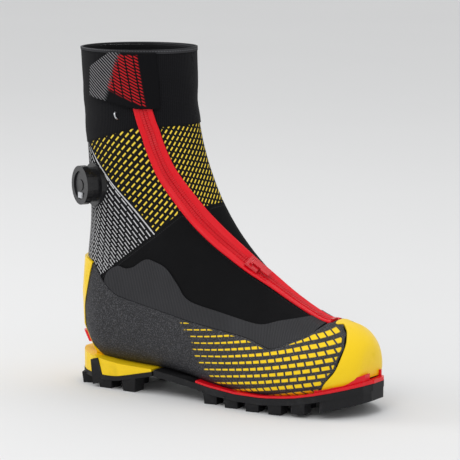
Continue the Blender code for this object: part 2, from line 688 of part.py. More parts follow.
def slider_and_puller():
    """Slider body over the teeth and the puller on its bridge."""
    frame = slider_frame()

    def at(x, y, z):
        return frame @ Matrix.Translation((x, y, z))
    body = block("zip_slider", (14.0, 13.0, 1.6), at(0.0, 0.0, 4.6), taper=0.9)
    for side in (-1, 1):
        wall = block("slider_wall_%d" % side, (13.0, 1.8, 1.8), at(0.0, side * 5.2, 3.3), CUTTERS)
        boolean(body, wall, "UNION")
        post = block("slider_post_%d" % side, (3.0, 1.4, 2.6), at(-2.0, side * 3.2, 6.2), CUTTERS)
        boolean(body, post, "UNION")
    material(body, (0.66, 0.015, 0.02), 0.3)
    pin = frame @ Matrix.Translation((-2.0, 0.0, 6.6)) @ Matrix.Rotation(math.pi / 2, 4, "X")
    tab = cylinder("zip_puller", 0.9, -2.2, 2.2, pin, sides=12)
    boolean(tab, block("puller_tab", (17.0, 4.2, 1.4), at(7.0, 0.0, 6.8), CUTTERS), "UNION")
    boolean(tab, block("puller_grip", (9.0, 7.0, 1.6), at(12.5, 0.0, 6.8), CUTTERS), "UNION")
    material(tab, RED, 0.35)
    set_pivot(tab, (frame @ Vector((-2.0, 0.0, 6.6))))


# -------------------------------------------------------------------------- dial
BASE_R, CUP_R, SPOOL_R, PIN_R, KNOB_R = 20.0, 16.0, 10.0, 2.5, 18.0
FLOOR_Z, CUP_TOP, KNOB_LOW, KNOB_TOP = 2.4, 8.0, 8.6, 15.0


def dial_frame():
    """Frame of the dial: origin on the form, z along its outward normal, x up."""
    origin = surface(DIAL_SECTION, DIAL_ANGLE)
    out = normal(DIAL_SECTION, DIAL_ANGLE)
    out = np.array([out[0], out[1], 0.0])
    return frame_at(origin, (0.0, 0.0, 1.0), out)


def cable_port(index, radius):
    """Cutter for one of the two lace holes in the dial base and in the fabric."""
    frame = dial_frame()
    across = 5.0 if index == 0 else -5.0
    place = frame @ Matrix.Translation((across, -12.6, 0.0))
    return cylinder("port_%d_%.1f" % (index, radius), radius, -8.0, 5.0, place, CUTTERS, 16)


def dial():
    """Base on the fabric, spool, sliding spindle, ratchet knob and its mark."""
    frame = dial_frame()
    base = cylinder("dial_base", BASE_R, -9.0, 1.6, frame)
    boolean(base, cylinder("dial_cup", CUP_R, -8.0, CUP_TOP, frame, CUTTERS), "UNION")
    boolean(base, FORM_CUTTER)
    boolean(base, cylinder("spool_bore", SPOOL_R + 0.5, FLOOR_Z, 12.0, frame, CUTTERS))
    boolean(base, cylinder("pin_bore", PIN_R + GAP, 0.6, 12.0, frame, CUTTERS, 20))
    for index in range(2):
        boolean(base, cable_port(index, 1.4))
    material(base, BLACK, 0.4)

    spool = cylinder("dial_spool", SPOOL_R, FLOOR_Z + GAP, CUP_TOP - 0.3, frame)
    groove = turned_ring("spool_groove", SPOOL_R, 1.6, (FLOOR_Z + CUP_TOP) / 2.0, frame)
    boolean(spool, groove)
    boolean(spool, cylinder("spool_hole", PIN_R + GAP, 0.0, 12.0, frame, CUTTERS, 20))
    material(spool, CHARCOAL, 0.5)
    set_pivot(spool, frame.translation)

    pin = cylinder("dial_spindle", PIN_R, 1.0, KNOB_TOP - 2.0, frame, sides=20)
    boolean(pin, cylinder("pin_head", 5.0, KNOB_TOP - 2.4, KNOB_TOP - 0.8, frame, CUTTERS, 24),
            "UNION")
    material(pin, (0.45, 0.45, 0.47), 0.3, 0.9)
    set_pivot(pin, frame.translation)

    knob = cylinder("dial_knob", KNOB_R, KNOB_LOW, KNOB_TOP, frame, sides=36)
    for i in range(18):
        turn = frame @ Matrix.Rotation(2.0 * math.pi * i / 18.0, 4, "Z")
        flute = turn @ Matrix.Translation((KNOB_R + 0.3, 0.0, (KNOB_LOW + KNOB_TOP) / 2.0))
        boolean(knob, block("flute_%d" % i, (1.6, 1.8, 5.0), flute, CUTTERS))
    boolean(knob, cylinder("knob_dish", 13.0, KNOB_TOP - 1.4, 20.0, frame, CUTTERS))
    boolean(knob, cylinder("knob_bore", PIN_R + GAP, 0.0, 20.0, frame, CUTTERS, 20))
    boolean(knob, cylinder("knob_seat", 5.3, KNOB_TOP - 2.7, 20.0, frame, CUTTERS, 24))
    material(knob, (0.02, 0.02, 0.022), 0.4)
    set_pivot(knob, frame.translation)

    place = frame @ Matrix.Translation((-9.3, 0.0, KNOB_TOP - 0.45))
    mark = block("dial_mark", (5.6, 8.0, 1.2), place, taper=0.9)
    material(mark, GREY, 0.35)
    set_pivot(mark, frame.translation)


def turned_ring(name, radius, depth, height, frame):
    """Cutter: a square groove's ring, a profile turned with a Screw modifier."""
    mesh = bpy.data.meshes.new(name)
    inner, outer = radius - depth, radius + 1.0
    low, high = height - 1.2, height + 1.2
    outline = [(inner, 0.0, low), (inner, 0.0, high), (outer, 0.0, high), (outer, 0.0, low)]
    mesh.from_pydata([tuple(c * MM for c in p) for p in outline],
                     [(0, 1), (1, 2), (2, 3), (3, 0)], [])
    obj = add_object(name, mesh, CUTTERS)
    mod = obj.modifiers.new("turn", "SCREW")
    mod.steps = mod.render_steps = 32
    mod.use_merge_vertices = True
    mod.merge_threshold = MERGE
    mod.use_normal_calculate = True
    bake(obj)
    place = frame.copy()
    place.translation = Vector(to_world(frame.translation))
    obj.data.transform(place)
    return outward(obj)


# ----------------------------------------------------------- lace cable and guides
CABLE_DEPTH = -2.7
CABLE_R = 0.5
CABLE_BEND = 14.0                      # how much closer its points lie in the bends, in mm
GUIDES = [(8.2, 38.0), (9.1, -38.0), (10.0, 40.0), (10.9, -40.0), (11.8, 42.0)]


def guide_frame(s, angle):
    """Frame of a lace guide: x along the throat edge, z outwards."""
    here = offset_point(s, angle, CABLE_DEPTH)
    ahead = surface(s + 0.05, angle) - surface(s - 0.05, angle)
    return frame_at(here, ahead, normal(s, angle))


def cable_route():
    """Hand-set route of the lace: out of the dial, through the guides and back."""
    frame = dial_frame()
    down = [(-12.6, 3.0), (-12.6, 0.0), (-12.6, -2.6), (-13.5, -4.1), (-16.5, -5.5)]
    route = [frame @ Vector((-5.0, y, z)) for y, z in down]
    run_in = [(14.17, 100.0), (12.8, 87.0), (11.0, 72.0), (9.0, 57.0), (7.8, 44.0)]
    route += [offset_point(s, angle, CABLE_DEPTH) for s, angle in run_in]
    for s, angle in GUIDES:
        guide = guide_frame(s, angle)
        route += [guide @ Vector((x, 0.0, 0.0)) for x in (-4.6, -2.0, 2.0, 4.6)]
        if s < GUIDES[-1][0]:
            across = (angle * 0.5, 0.0, -angle * 0.5)
            route += [offset_point(s + 0.45, turn, CABLE_DEPTH) for turn in across]
    run_out = [(12.7, 58.0), (14.3, 76.0), (15.3, 98.0), (15.47, 108.0)]
    route += [offset_point(s, angle, CABLE_DEPTH) for s, angle in run_out]
    route += [frame @ Vector((5.0, y, z)) for y, z in reversed(down)]
    return np.array([tuple(p) for p in route])


def smooth(points, count, bend=0.0):
    """Samples of a smooth curve through the points, closer together in its bends."""
    ends = np.vstack([2 * points[0] - points[1], points, 2 * points[-1] - points[-2]])
    fine = []
    for p0, p1, p2, p3 in zip(ends, ends[1:], ends[2:], ends[3:]):
        for t in np.linspace(0.0, 1.0, 40, endpoint=False):
            fine.append(0.5 * (2 * p1 + (p2 - p0) * t + (2 * p0 - 5 * p1 + 4 * p2 - p3) * t ** 2
                               + (3 * p1 - p0 - 3 * p2 + p3) * t ** 3))
    fine = np.array(fine + [points[-1]])
    step = np.diff(fine, axis=0)
    length = np.linalg.norm(step, axis=1)
    ahead = step / length[:, None]
    turn = np.linalg.norm(np.diff(ahead, axis=0, prepend=ahead[:1]), axis=1)
    measure = np.concatenate([[0.0], np.cumsum(length + bend * turn)])
    even = np.linspace(0.0, measure[-1], count)
    return np.stack([np.interp(even, measure, column) for column in fine.T], -1)


def tube(name, points, radius, resolution=2):
    """Round wire through the points, with filled ends."""
    curve = bpy.data.curves.new(name, "CURVE")
    curve.dimensions = "3D"
    curve.bevel_depth = radius * MM
    curve.bevel_resolution = resolution
    curve.use_fill_caps = True
    spline = curve.splines.new("POLY")
    spline.points.add(len(points) - 1)
    for point, place in zip(spline.points, to_world(points)):
        point.co = (*place, 1.0)
    obj = bpy.data.objects.new(name, curve)
    PARTS.objects.link(obj)
    return obj


def lacing():
    """Webbing guides on the inner shell and the lace cable through them."""
    for i, (s, angle) in enumerate(GUIDES):
        frame = guide_frame(s, angle)
        guide = block("lace_guide_%d" % (i + 1), (4.2, 5.0, 2.0), frame)
        boolean(guide, block("guide_slot_%d" % i, (8.0, 3.6, 1.6), frame, CUTTERS))
        material(guide, (0.25, 0.25, 0.27), 0.8)
    cable = tube("lace_cable", smooth(cable_route(), 80, CABLE_BEND), CABLE_R)
    material(cable, (0.30, 0.31, 0.33), 0.35, 0.8)


# ------------------------------------------------------------------- inner layers
def wall_depth(foot, leg):
    """Depth under the form that grows from the toe box to the leg."""
    return lambda s, angle: -np.interp(s, [4.0, 8.0], [foot, leg])


def inner_boot():
    """Laced inner shell with a throat, its tongue, and the insulated liner."""
    shell = layer("inner_shell", wall_depth(2.6, 4.1), 1.4, (0.9, 17.1), grid=INNER_GRID,
                  floor=10.0, close_toe=True)
    keep = [(-180.0, 0.0), (180.0, 0.0), (180.0, SHELL_TOP_Z), (-180.0, SHELL_TOP_Z)]
    boolean(shell, prism("shell_keep", keep), "INTERSECT")
    boolean(shell, throat_cutter())
    material(shell, (0.06, 0.06, 0.07), 0.7)
    tongue = layer("tongue", -5.9, 1.4, (8.1, 14.4), (-45.0, 45.0), INNER_GRID)
    keep = [(-180.0, 0.0), (180.0, 0.0), (180.0, TONGUE_TOP_Z), (-180.0, TONGUE_TOP_Z)]
    boolean(tongue, prism("tongue_keep", keep), "INTERSECT")
    material(tongue, (0.08, 0.08, 0.09), 0.9)
    liner = layer("liner", wall_depth(4.4, 7.7), 2.4, (2.7, 17.1), grid=INNER_GRID, floor=12.0,
                  close_toe=True)
    keep = [(-180.0, 0.0), (180.0, 0.0), (180.0, LINER_TOP_Z), (-180.0, LINER_TOP_Z)]
    boolean(liner, prism("liner_keep", keep), "INTERSECT")
    material(liner, (0.10, 0.10, 0.11), 0.95)


def throat_cutter():
    """Cutter for the lacing gap: a bent slab along the instep arc."""
    angles = np.linspace(40.0, 96.0, 16)
    points, faces = [], []
    for degrees in angles:
        a = math.radians(degrees)
        for radius, y in ((215.0, -20.0), (262.0, -20.0), (262.0, 20.0), (215.0, 20.0)):
            points.append((INSTEP_X - radius * math.sin(a), y, INSTEP_Z - radius * math.cos(a)))
    for i in range(len(angles) - 1):
        for j in range(4):
            k = (j + 1) % 4
            faces.append((4 * i + j, 4 * i + 4 + j, 4 * i + 4 + k, 4 * i + k))
    faces.append((0, 1, 2, 3))
    faces.append(tuple(reversed(range(len(points) - 4, len(points)))))
    obj = add_mesh("throat", points, faces, CUTTERS)
    return outward(obj)


# -------------------------------------------------------------------- cuff strap
def strap_height(lift):
    """Height of the strap over the cuff: flat at its sewn edge, proud over the zip."""
    def height(s, angle):
        t = np.clip((angle - STRAP_FRONT) / 8.0, 0.0, 1.0)
        return lift - 2.3 * (1.0 - t * t * (3.0 - 2.0 * t))
    return height


def strap():
    """Strap over the zip's end, its hook patch, the loop patch and the keeper."""
    flap = layer("cuff_strap", strap_height(4.6), 1.3, (14.25, 18.0), (STRAP_FRONT, STRAP_END),
                 (0.75, (STRAP_END - STRAP_FRONT) / 10.0))
    boolean(flap, prism("strap_outline", STRAP_OUTLINE, -90.0, -10.0), "INTERSECT")
    material(flap, (0.10, 0.02, 0.02), 0.8)
    pivot = strap_pivot()
    set_pivot(flap, pivot)
    window = [(-122.0, 276.0), (-122.0, 295.0), (-104.0, 303.0), (-96.0, 303.0), (-96.0, 272.0)]
    hook = layer("strap_hook_patch", 3.0, 0.7, (15.0, 18.0), (75.0, 120.0))
    boolean(hook, prism("hook_outline", window, -90.0, -10.0), "INTERSECT")
    material(hook, CHARCOAL, 0.9)
    set_pivot(hook, pivot)
    loop = layer("cuff_loop_patch", 1.7, 0.8, (15.0, 18.0), (75.0, 120.0))
    boolean(loop, prism("loop_outline", window, -90.0, -10.0), "INTERSECT")
    material(loop, BLACK, 1.0)
    top, bottom = offset_point(16.35, 90.0, 1.8), offset_point(16.1, 88.5, 1.8)
    out = normal(16.2, 90.0)
    bow = [top, top + out * 1.6 + (bottom - top) * 0.2, (top + bottom) / 2.0 + out * 2.4,
           bottom + out * 1.6 - (bottom - top) * 0.2, bottom]
    material(tube("strap_keeper", smooth(np.array(bow), 14), 0.8), GREY, 0.3)


def strap_pivot():
    """Middle of the strap's sewn edge."""
    return offset_point(16.2, STRAP_FRONT, 1.6)


# ---------------------------------------------------------------------- assembly
def build_all():
    """Model every piece."""
    forefoot_outsole()
    heel_outsole()
    midsole_heel()
    heel_welt()
    toe_welt()
    sole_core()
    rands()
    overlays()
    toe_cap()
    gaiter()
    zip_parts()
    dial()
    lacing()
    inner_boot()
    strap()


clear_scene()
FORM_CUTTER = layer("form_cutter", GAP, 0.0, (0.0, 18.0), collection=CUTTERS,
                    close_toe=True, close_rim=True)
FORM_CUTTER_PROUD = layer("form_cutter_proud", 2.2, 0.0, (0.0, 10.5), collection=CUTTERS,
                          close_toe=True, close_rim=True)
FORM_INSIDE = layer("form_inside", -3.2, 0.0, (0.9, 18.0), grid=INNER_GRID,
                    collection=CUTTERS, close_toe=True, close_rim=True)
ZIP_SLOT = sweep("zip_slot", zip_path(46), lambda i: rectangle(
    -ZIP_HALF - GAP, ZIP_HALF + GAP, -3.0, 8.0), CUTTERS)
build_all()
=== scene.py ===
"""Looks of the mountaineering boot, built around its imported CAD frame.

Working millimetres: x towards the toe, -y the lateral side, z up, as in the boot's
form below; to_world() turns them into the frame's metres.
"""
import math
import bmesh
import bpy
import numpy as np
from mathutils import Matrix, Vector


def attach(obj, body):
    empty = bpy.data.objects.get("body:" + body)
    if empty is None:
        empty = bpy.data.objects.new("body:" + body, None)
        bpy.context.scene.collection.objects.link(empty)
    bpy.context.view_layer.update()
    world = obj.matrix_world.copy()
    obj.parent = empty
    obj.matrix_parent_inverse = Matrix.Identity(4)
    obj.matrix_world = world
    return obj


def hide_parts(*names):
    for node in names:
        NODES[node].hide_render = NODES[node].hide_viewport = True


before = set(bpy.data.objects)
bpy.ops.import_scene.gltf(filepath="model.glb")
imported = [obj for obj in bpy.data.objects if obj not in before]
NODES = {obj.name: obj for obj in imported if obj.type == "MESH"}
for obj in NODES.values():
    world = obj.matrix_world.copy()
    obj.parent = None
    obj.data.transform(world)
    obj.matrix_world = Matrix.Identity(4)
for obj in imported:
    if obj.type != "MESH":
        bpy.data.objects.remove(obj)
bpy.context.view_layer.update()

MM = 0.001
TWO_PI = 6.2832
CENTRE = (-4.25, -2.3, 0.0)
GAP = 0.3

# ------------------------------------------------------------------------ camera
AZIMUTH, ELEVATION, DISTANCE = math.radians(32.0), math.radians(9.0), 2.6
TARGET = Vector((0.00425, 0.0023, 0.150))
SENSOR, LENS, SHIFT = 36.0, 223.826, (-0.0087, 0.0076)
camera = bpy.data.objects.new("camera", bpy.data.cameras.new("camera"))
bpy.context.scene.collection.objects.link(camera)
away = Vector((math.sin(AZIMUTH) * math.cos(ELEVATION), -math.cos(AZIMUTH) * math.cos(ELEVATION),
               math.sin(ELEVATION)))
camera.location = TARGET + away * DISTANCE
camera.rotation_euler = away.to_track_quat("Z", "Y").to_euler()
camera.data.sensor_width = SENSOR
camera.data.lens = LENS
camera.data.shift_x, camera.data.shift_y = SHIFT
camera.data.clip_end = 20.0
bpy.context.scene.camera = camera

# ---------------------------------------------------------------- the boot's form
INSTEP_X, INSTEP_Z, INSTEP_R = 191.0, 298.0, 237.0


def ridge(degrees):
    """Point (x, z) of the instep arc, from the toe box to the shin."""
    a = math.radians(degrees)
    return (INSTEP_X - INSTEP_R * math.sin(a), INSTEP_Z - INSTEP_R * math.cos(a))


# Ridge point, sole or heel point, centre y, lateral and medial half width, widest
# line, roundness of the ridge side and of the far side; toe tip to rim.
SECTIONS = [
    ((143, 52), (143, 38), 2.5, 9, 7, 0.50, 2.0, 2.0),
    ((141, 61.5), (142, 30.5), 2.5, 23, 16.5, 0.60, 2.0, 2.3),
    ((135, 69), (136.5, 26), 2.5, 34, 26.5, 0.62, 2.0, 2.8),
    ((125, 75.5), (126.5, 22.5), 2.5, 43, 36, 0.65, 2.0, 3.2),
    ((110, 79.6), (111, 19), 2, 49.5, 44, 0.68, 2.0, 3.6),
    (ridge(24.2), (93, 15.5), 1, 53, 48.5, 0.70, 1.95, 3.8),
    (ridge(33), (64, 12.5), 0, 54, 50, 0.72, 1.8, 4.0),
    (ridge(42.5), (33, 12), 0, 51, 45.5, 0.74, 1.65, 4.0),
    (ridge(52), (2, 14), 0, 47, 40, 0.72, 1.65, 3.8),
    (ridge(60.5), (-30, 19), 0, 43.5, 37.5, 0.68, 1.7, 3.6),
    (ridge(68), (-64, 22.5), 0, 41.5, 37.5, 0.62, 1.8, 3.6),
    (ridge(74.5), (-103, 24), 0, 41, 38.5, 0.58, 1.9, 3.6),
    (ridge(79.5), (-138, 28), 0, 41, 39.5, 0.54, 2.0, 3.2),
    (ridge(83.5), (-153, 55), 0, 41, 40, 0.52, 2.0, 2.6),
    (ridge(86.5), (-153, 100), 0, 41.5, 40.5, 0.50, 2.0, 2.3),
    (ridge(88.5), (-148.5, 150), 0, 42, 41, 0.50, 2.0, 2.2),
    (ridge(90), (-150.5, 200), 0, 43, 42, 0.50, 2.0, 2.15),
    ((-46.5, 305), (-154.5, 255), 0, 44, 43, 0.50, 2.0, 2.1),
    ((-47, 317), (-158, 315), 0, 45, 44, 0.50, 2.0, 2.1),
]
LAST = len(SECTIONS) - 1
FORM = np.array([[*near, *far, *rest] for near, far, *rest in SECTIONS])
SOLE_LINE = [(-160, 30), (-138, 27.5), (-103, 24), (-64, 22.5), (-30, 19), (2, 14),
             (33, 12), (64, 12.5), (93, 15.5), (111, 19), (127, 23), (143, 31), (160, 40)]
CUFF_LINE = [(-180, 219.5), (-140, 228.5), (-85, 245.5), (-40, 249), (20, 252)]
KNIT_LINE = [(-180, 61.7), (-121, 105), (-60, 150), (-38, 169), (20, 187)]
DIAGONAL = [(-140, 228.5), (-60, 150)]
RAND_TOP = [(-126, 115), (-116.5, 101.5), (-104, 91), (-92.5, 87.5), (-65, 82), (-25, 74.5),
            (8.5, 70), (41, 65.5), (58, 61), (70.5, 58), (85, 64.5), (98.5, 70.5), (106, 78)]
OVERLAY_TOP = [(-115.5, 101.5), (-112, 110), (-100, 117.5), (-87.5, 115), (-70, 125.5),
               (-60, 124.5), (-47, 119), (-34.5, 105.5), (-22, 92.5), (11, 85), (51, 77.5),
               (69, 81), (92, 84), (105, 84)]
TOE_CAP_EDGE = [(103, 100), (110, 80), (119, 77), (127, 71.5), (131.5, 61), (129, 44),
                (119, 30), (113, 20)]
HEEL_STAY_EDGE = [(-129, 118), (-134, 104.5), (-139, 89.5), (-144, 74.5), (-146, 54.5),
                  (-136.5, 38.5), (-128, 29)]
STRAP_OUTLINE = [(-126, 273), (-124.5, 300), (-103, 314.0), (-40, 314.0), (-40, 262),
                 (-67, 263.5), (-79, 263.5), (-95, 267)]
TOP_BAND_Z = 313.0
LINER_TOP_Z = 262.0
UNROLL_SECTION = 14.0
ZIP_ROUTE = [(4.0, 4.5), (5.2, 1.5), (6.3, 6.5), (7.3, 17.5), (8.6, 30.0), (9.9, 39.5),
             (11.2, 45.5), (12.3, 48.5), (13.4, 52.5), (15.3, 62.0), (18.0, 69.0)]
ZIP_HALF = 8.0
SLOT_TOE_X, SLOT_TOP_Z = 109.0, 305.0
ZIP_FROM, ZIP_TO = 4.1, 17.5
STRAP_FRONT, STRAP_END = 45.0, 121.0
STRAP_MIDDLE_Z = 285.0
SKIN_SHARP = 35.0


def to_world(points):
    """Working millimetres to metres in the frame."""
    return (np.asarray(points, float) - CENTRE) * MM


def curve_through(points, count):
    """Samples of a smooth curve through the points, evenly spaced."""
    points = np.asarray(points, float)
    ends = np.vstack([2 * points[0] - points[1], points, 2 * points[-1] - points[-2]])
    fine = []
    for p0, p1, p2, p3 in zip(ends, ends[1:], ends[2:], ends[3:]):
        for t in np.linspace(0.0, 1.0, 40, endpoint=False):
            fine.append(0.5 * (2 * p1 + (p2 - p0) * t + (2 * p0 - 5 * p1 + 4 * p2 - p3) * t ** 2
                               + (3 * p1 - p0 - 3 * p2 + p3) * t ** 3))
    fine = np.array(fine + [points[-1]])
    measure = np.concatenate([[0.0], np.cumsum(np.linalg.norm(np.diff(fine, axis=0), axis=1))])
    even = np.linspace(0.0, measure[-1], count)
    return np.stack([np.interp(even, measure, column) for column in fine.T], -1)


def sole_z(x):
    """Height of the upper's underside at x."""
    line = np.array(SOLE_LINE)
    return np.interp(x, line[:, 0], line[:, 1])


def sections_at(s):
    """Section values at s, smoothly interpolated."""
    s = np.clip(np.asarray(s, float), 0.0, LAST)
    k = np.clip(np.floor(s).astype(int), 0, LAST - 1)
    t = (s - k)[..., None]
    p0, p1 = FORM[np.maximum(k - 1, 0)], FORM[k]
    p2, p3 = FORM[k + 1], FORM[np.minimum(k + 2, LAST)]
    return 0.5 * (2 * p1 + (p2 - p0) * t + (2 * p0 - 5 * p1 + 4 * p2 - p3) * t ** 2
                  + (3 * p1 - p0 - 3 * p2 + p3) * t ** 3)


def surface(s, angle):
    """Point of the outer form: angle 0 ridge, 90 lateral, 180 sole or heel."""
    s, angle = np.broadcast_arrays(np.asarray(s, float), np.asarray(angle, float))
    nx, nz, fx, fz, yc, lateral, medial, widest, ridge_n, far_n = np.moveaxis(
        sections_at(s), -1, 0)
    c, w = np.cos(np.radians(angle)), np.sin(np.radians(angle))
    power = 2.0 / np.where(c > 0, ridge_n, far_n)
    a, b = np.abs(c) ** power, np.abs(w) ** power
    u = np.where(c > 0, widest * (1 - a), widest + (1 - widest) * a)
    y = yc + np.where(w > 0, -lateral, medial) * b
    return np.stack([nx + (fx - nx) * u, y, nz + (fz - nz) * u], -1)


def normal(s, angle):
    """Outward unit normal of the form."""
    s = np.clip(s, 0.02, LAST - 0.02)
    n = np.cross(surface(s + 0.02, angle) - surface(s - 0.02, angle),
                 surface(s, angle + 1.0) - surface(s, angle - 1.0))
    return n / np.linalg.norm(n, axis=-1, keepdims=True)


def offset_point(s, angle, height):
    """Point at a height above the form, along its normal."""
    s, angle = np.asarray(s, float), np.asarray(angle, float)
    return surface(s, angle) + normal(s, angle) * np.asarray(height)[..., None]


def zip_angle(s):
    """Angle round section s at which the zip's centre line lies."""
    route = curve_through(ZIP_ROUTE, 160)
    return np.interp(s, route[:, 0], route[:, 1])


def zip_path(count, first=ZIP_FROM, last=ZIP_TO):
    """Points, across directions and normals along the zip, toe end first."""
    s = np.linspace(first, last, 600)
    points, normals = surface(s, zip_angle(s)), normal(s, zip_angle(s))
    length = np.concatenate([[0.0], np.cumsum(np.linalg.norm(np.diff(points, axis=0), axis=1))])
    even = np.linspace(0.0, length[-1], count)
    points = np.stack([np.interp(even, length, points[:, i]) for i in range(3)], -1)
    normals = np.stack([np.interp(even, length, normals[:, i]) for i in range(3)], -1)
    tangent = np.gradient(points, axis=0)
    tangent /= np.linalg.norm(tangent, axis=1, keepdims=True)
    across = np.cross(tangent, normals)
    across /= np.linalg.norm(across, axis=1, keepdims=True)
    return points, across, np.cross(across, tangent)


# ------------------------------------------------------------------ trimmed skins
def above(line, gap=0.0):
    """Field: how far a point is above a side-view line, less the gap."""
    line = np.array(line, float)

    def field(p, zip_d):
        slope = (np.interp(p[:, 0] + 1, line[:, 0], line[:, 1])
                 - np.interp(p[:, 0] - 1, line[:, 0], line[:, 1])) / 2.0
        return (p[:, 2] - np.interp(p[:, 0], line[:, 0], line[:, 1])) / np.hypot(1, slope) - gap
    return field


def below(line, gap=0.0):
    """Field: how far a point is below a side-view line, less the gap."""
    up = above(line)
    return lambda p, zip_d: -up(p, zip_d) - gap


def beyond(start, end, gap=0.0):
    """Field: distance to the right of the side-view line from start to end."""
    (ax, az), (bx, bz) = start, end
    nx, nz = -(bz - az), bx - ax
    size = math.hypot(nx, nz)
    return lambda p, zip_d: ((p[:, 0] - ax) * nx + (p[:, 2] - az) * nz) / size - gap


def inside(outline, gap=0.0):
    """Field: distance inside a closed side-view outline, less the gap."""
    outline = np.array(outline, float)

    def field(p, zip_d):
        q = p[:, [0, 2]]
        best = np.full(len(q), 1e9)
        odd = np.zeros(len(q), bool)
        for a, b in zip(outline, np.roll(outline, -1, axis=0)):
            e = b - a
            t = np.clip(((q - a) @ e) / max(e @ e, 1e-9), 0, 1)
            best = np.minimum(best, np.linalg.norm(q - a - t[:, None] * e, axis=1))
            crosses = (a[1] > q[:, 1]) != (b[1] > q[:, 1])
            at = a[0] + (q[:, 1] - a[1]) * e[0] / (e[1] if e[1] else 1e-9)
            odd ^= crosses & (q[:, 0] < at)
        return np.where(odd, best, -best) - gap
    return field


def off_zip(half):
    """Field: distance outside a band along the zip, which ends at the toe cap and the rim."""
    return lambda p, zip_d: np.maximum(
        np.abs(zip_d) - half, np.maximum(p[:, 0] - SLOT_TOE_X, p[:, 2] - SLOT_TOP_Z))


def lateral_of_zip(p, zip_d):
    """Field: positive on the lateral side of the zip."""
    return zip_d


def medial_of_zip(p, zip_d):
    """Field: positive on the medial side of the zip."""
    return -zip_d


ROUTE_POINTS = zip_path(420, ZIP_FROM, LAST)[0]


def zip_distance(p, s, angle):
    """Signed distance to the zip's centre line, positive on its lateral side."""
    d = np.full(len(p), 1e9)
    for chunk in np.array_split(np.arange(len(p)), max(1, len(p) // 4000)):
        gap = p[chunk, None, :] - ROUTE_POINTS[None]
        d[chunk] = np.sqrt((gap ** 2).sum(-1)).min(1)
    turn = (angle - zip_angle(s) + 180.0) % 360.0 - 180.0
    return np.where(turn > 0, d, -d)


def clip(table, faces, values):
    """Cut the faces where values pass zero and keep the positive side."""
    keep, cuts, out = values > 0, {}, []
    rows = [table]
    count = len(table)

    def cut(i, j):
        nonlocal count
        key = (min(i, j), max(i, j))
        if key not in cuts:
            t = values[i] / (values[i] - values[j])
            rows.append((table[i] + (table[j] - table[i]) * t)[None])
            cuts[key] = count
            count += 1
        return cuts[key]
    for face in faces:
        inside_count = sum(keep[i] for i in face)
        if inside_count == len(face):
            out.append(face)
        elif inside_count:
            ring = []
            for i, j in zip(face, face[1:] + face[:1]):
                if keep[i]:
                    ring.append(i)
                if keep[i] != keep[j]:
                    ring.append(cut(i, j))
            out.append(tuple(ring))
    return np.concatenate(rows), out


def unrolled(s, angle):
    """Side-view x at the lateral line, carried round the leg by its length.

    The medial half takes its lengths from one level section, so patterns stay even there.
    """
    turns = np.linspace(-180.0, 360.0, 271)
    result = np.empty(s.shape)
    for value in np.unique(s):
        ring = surface(value, turns)
        step = np.hypot(np.diff(ring[:, 0]), np.diff(ring[:, 1]))
        round_length = np.concatenate([[0.0], np.cumsum(step)])
        start = np.interp(90.0, turns, round_length)
        here = s == value
        result[here] = surface(value, 90.0)[0] + start - np.interp(
            angle[here], turns, round_length)
    ring = surface(UNROLL_SECTION, turns)
    step = np.hypot(np.diff(ring[:, 0]), np.diff(ring[:, 1]))
    round_length = np.concatenate([[0.0], np.cumsum(step)])
    start = np.interp(90.0, turns, round_length)
    rear = turns >= 180.0
    medial = angle > 180.0
    result[medial] = np.interp(surface(s[medial], angle[medial])[:, 0], ring[rear, 0],
                               ring[turns == 90.0, 0] + start - round_length[rear])
    return result


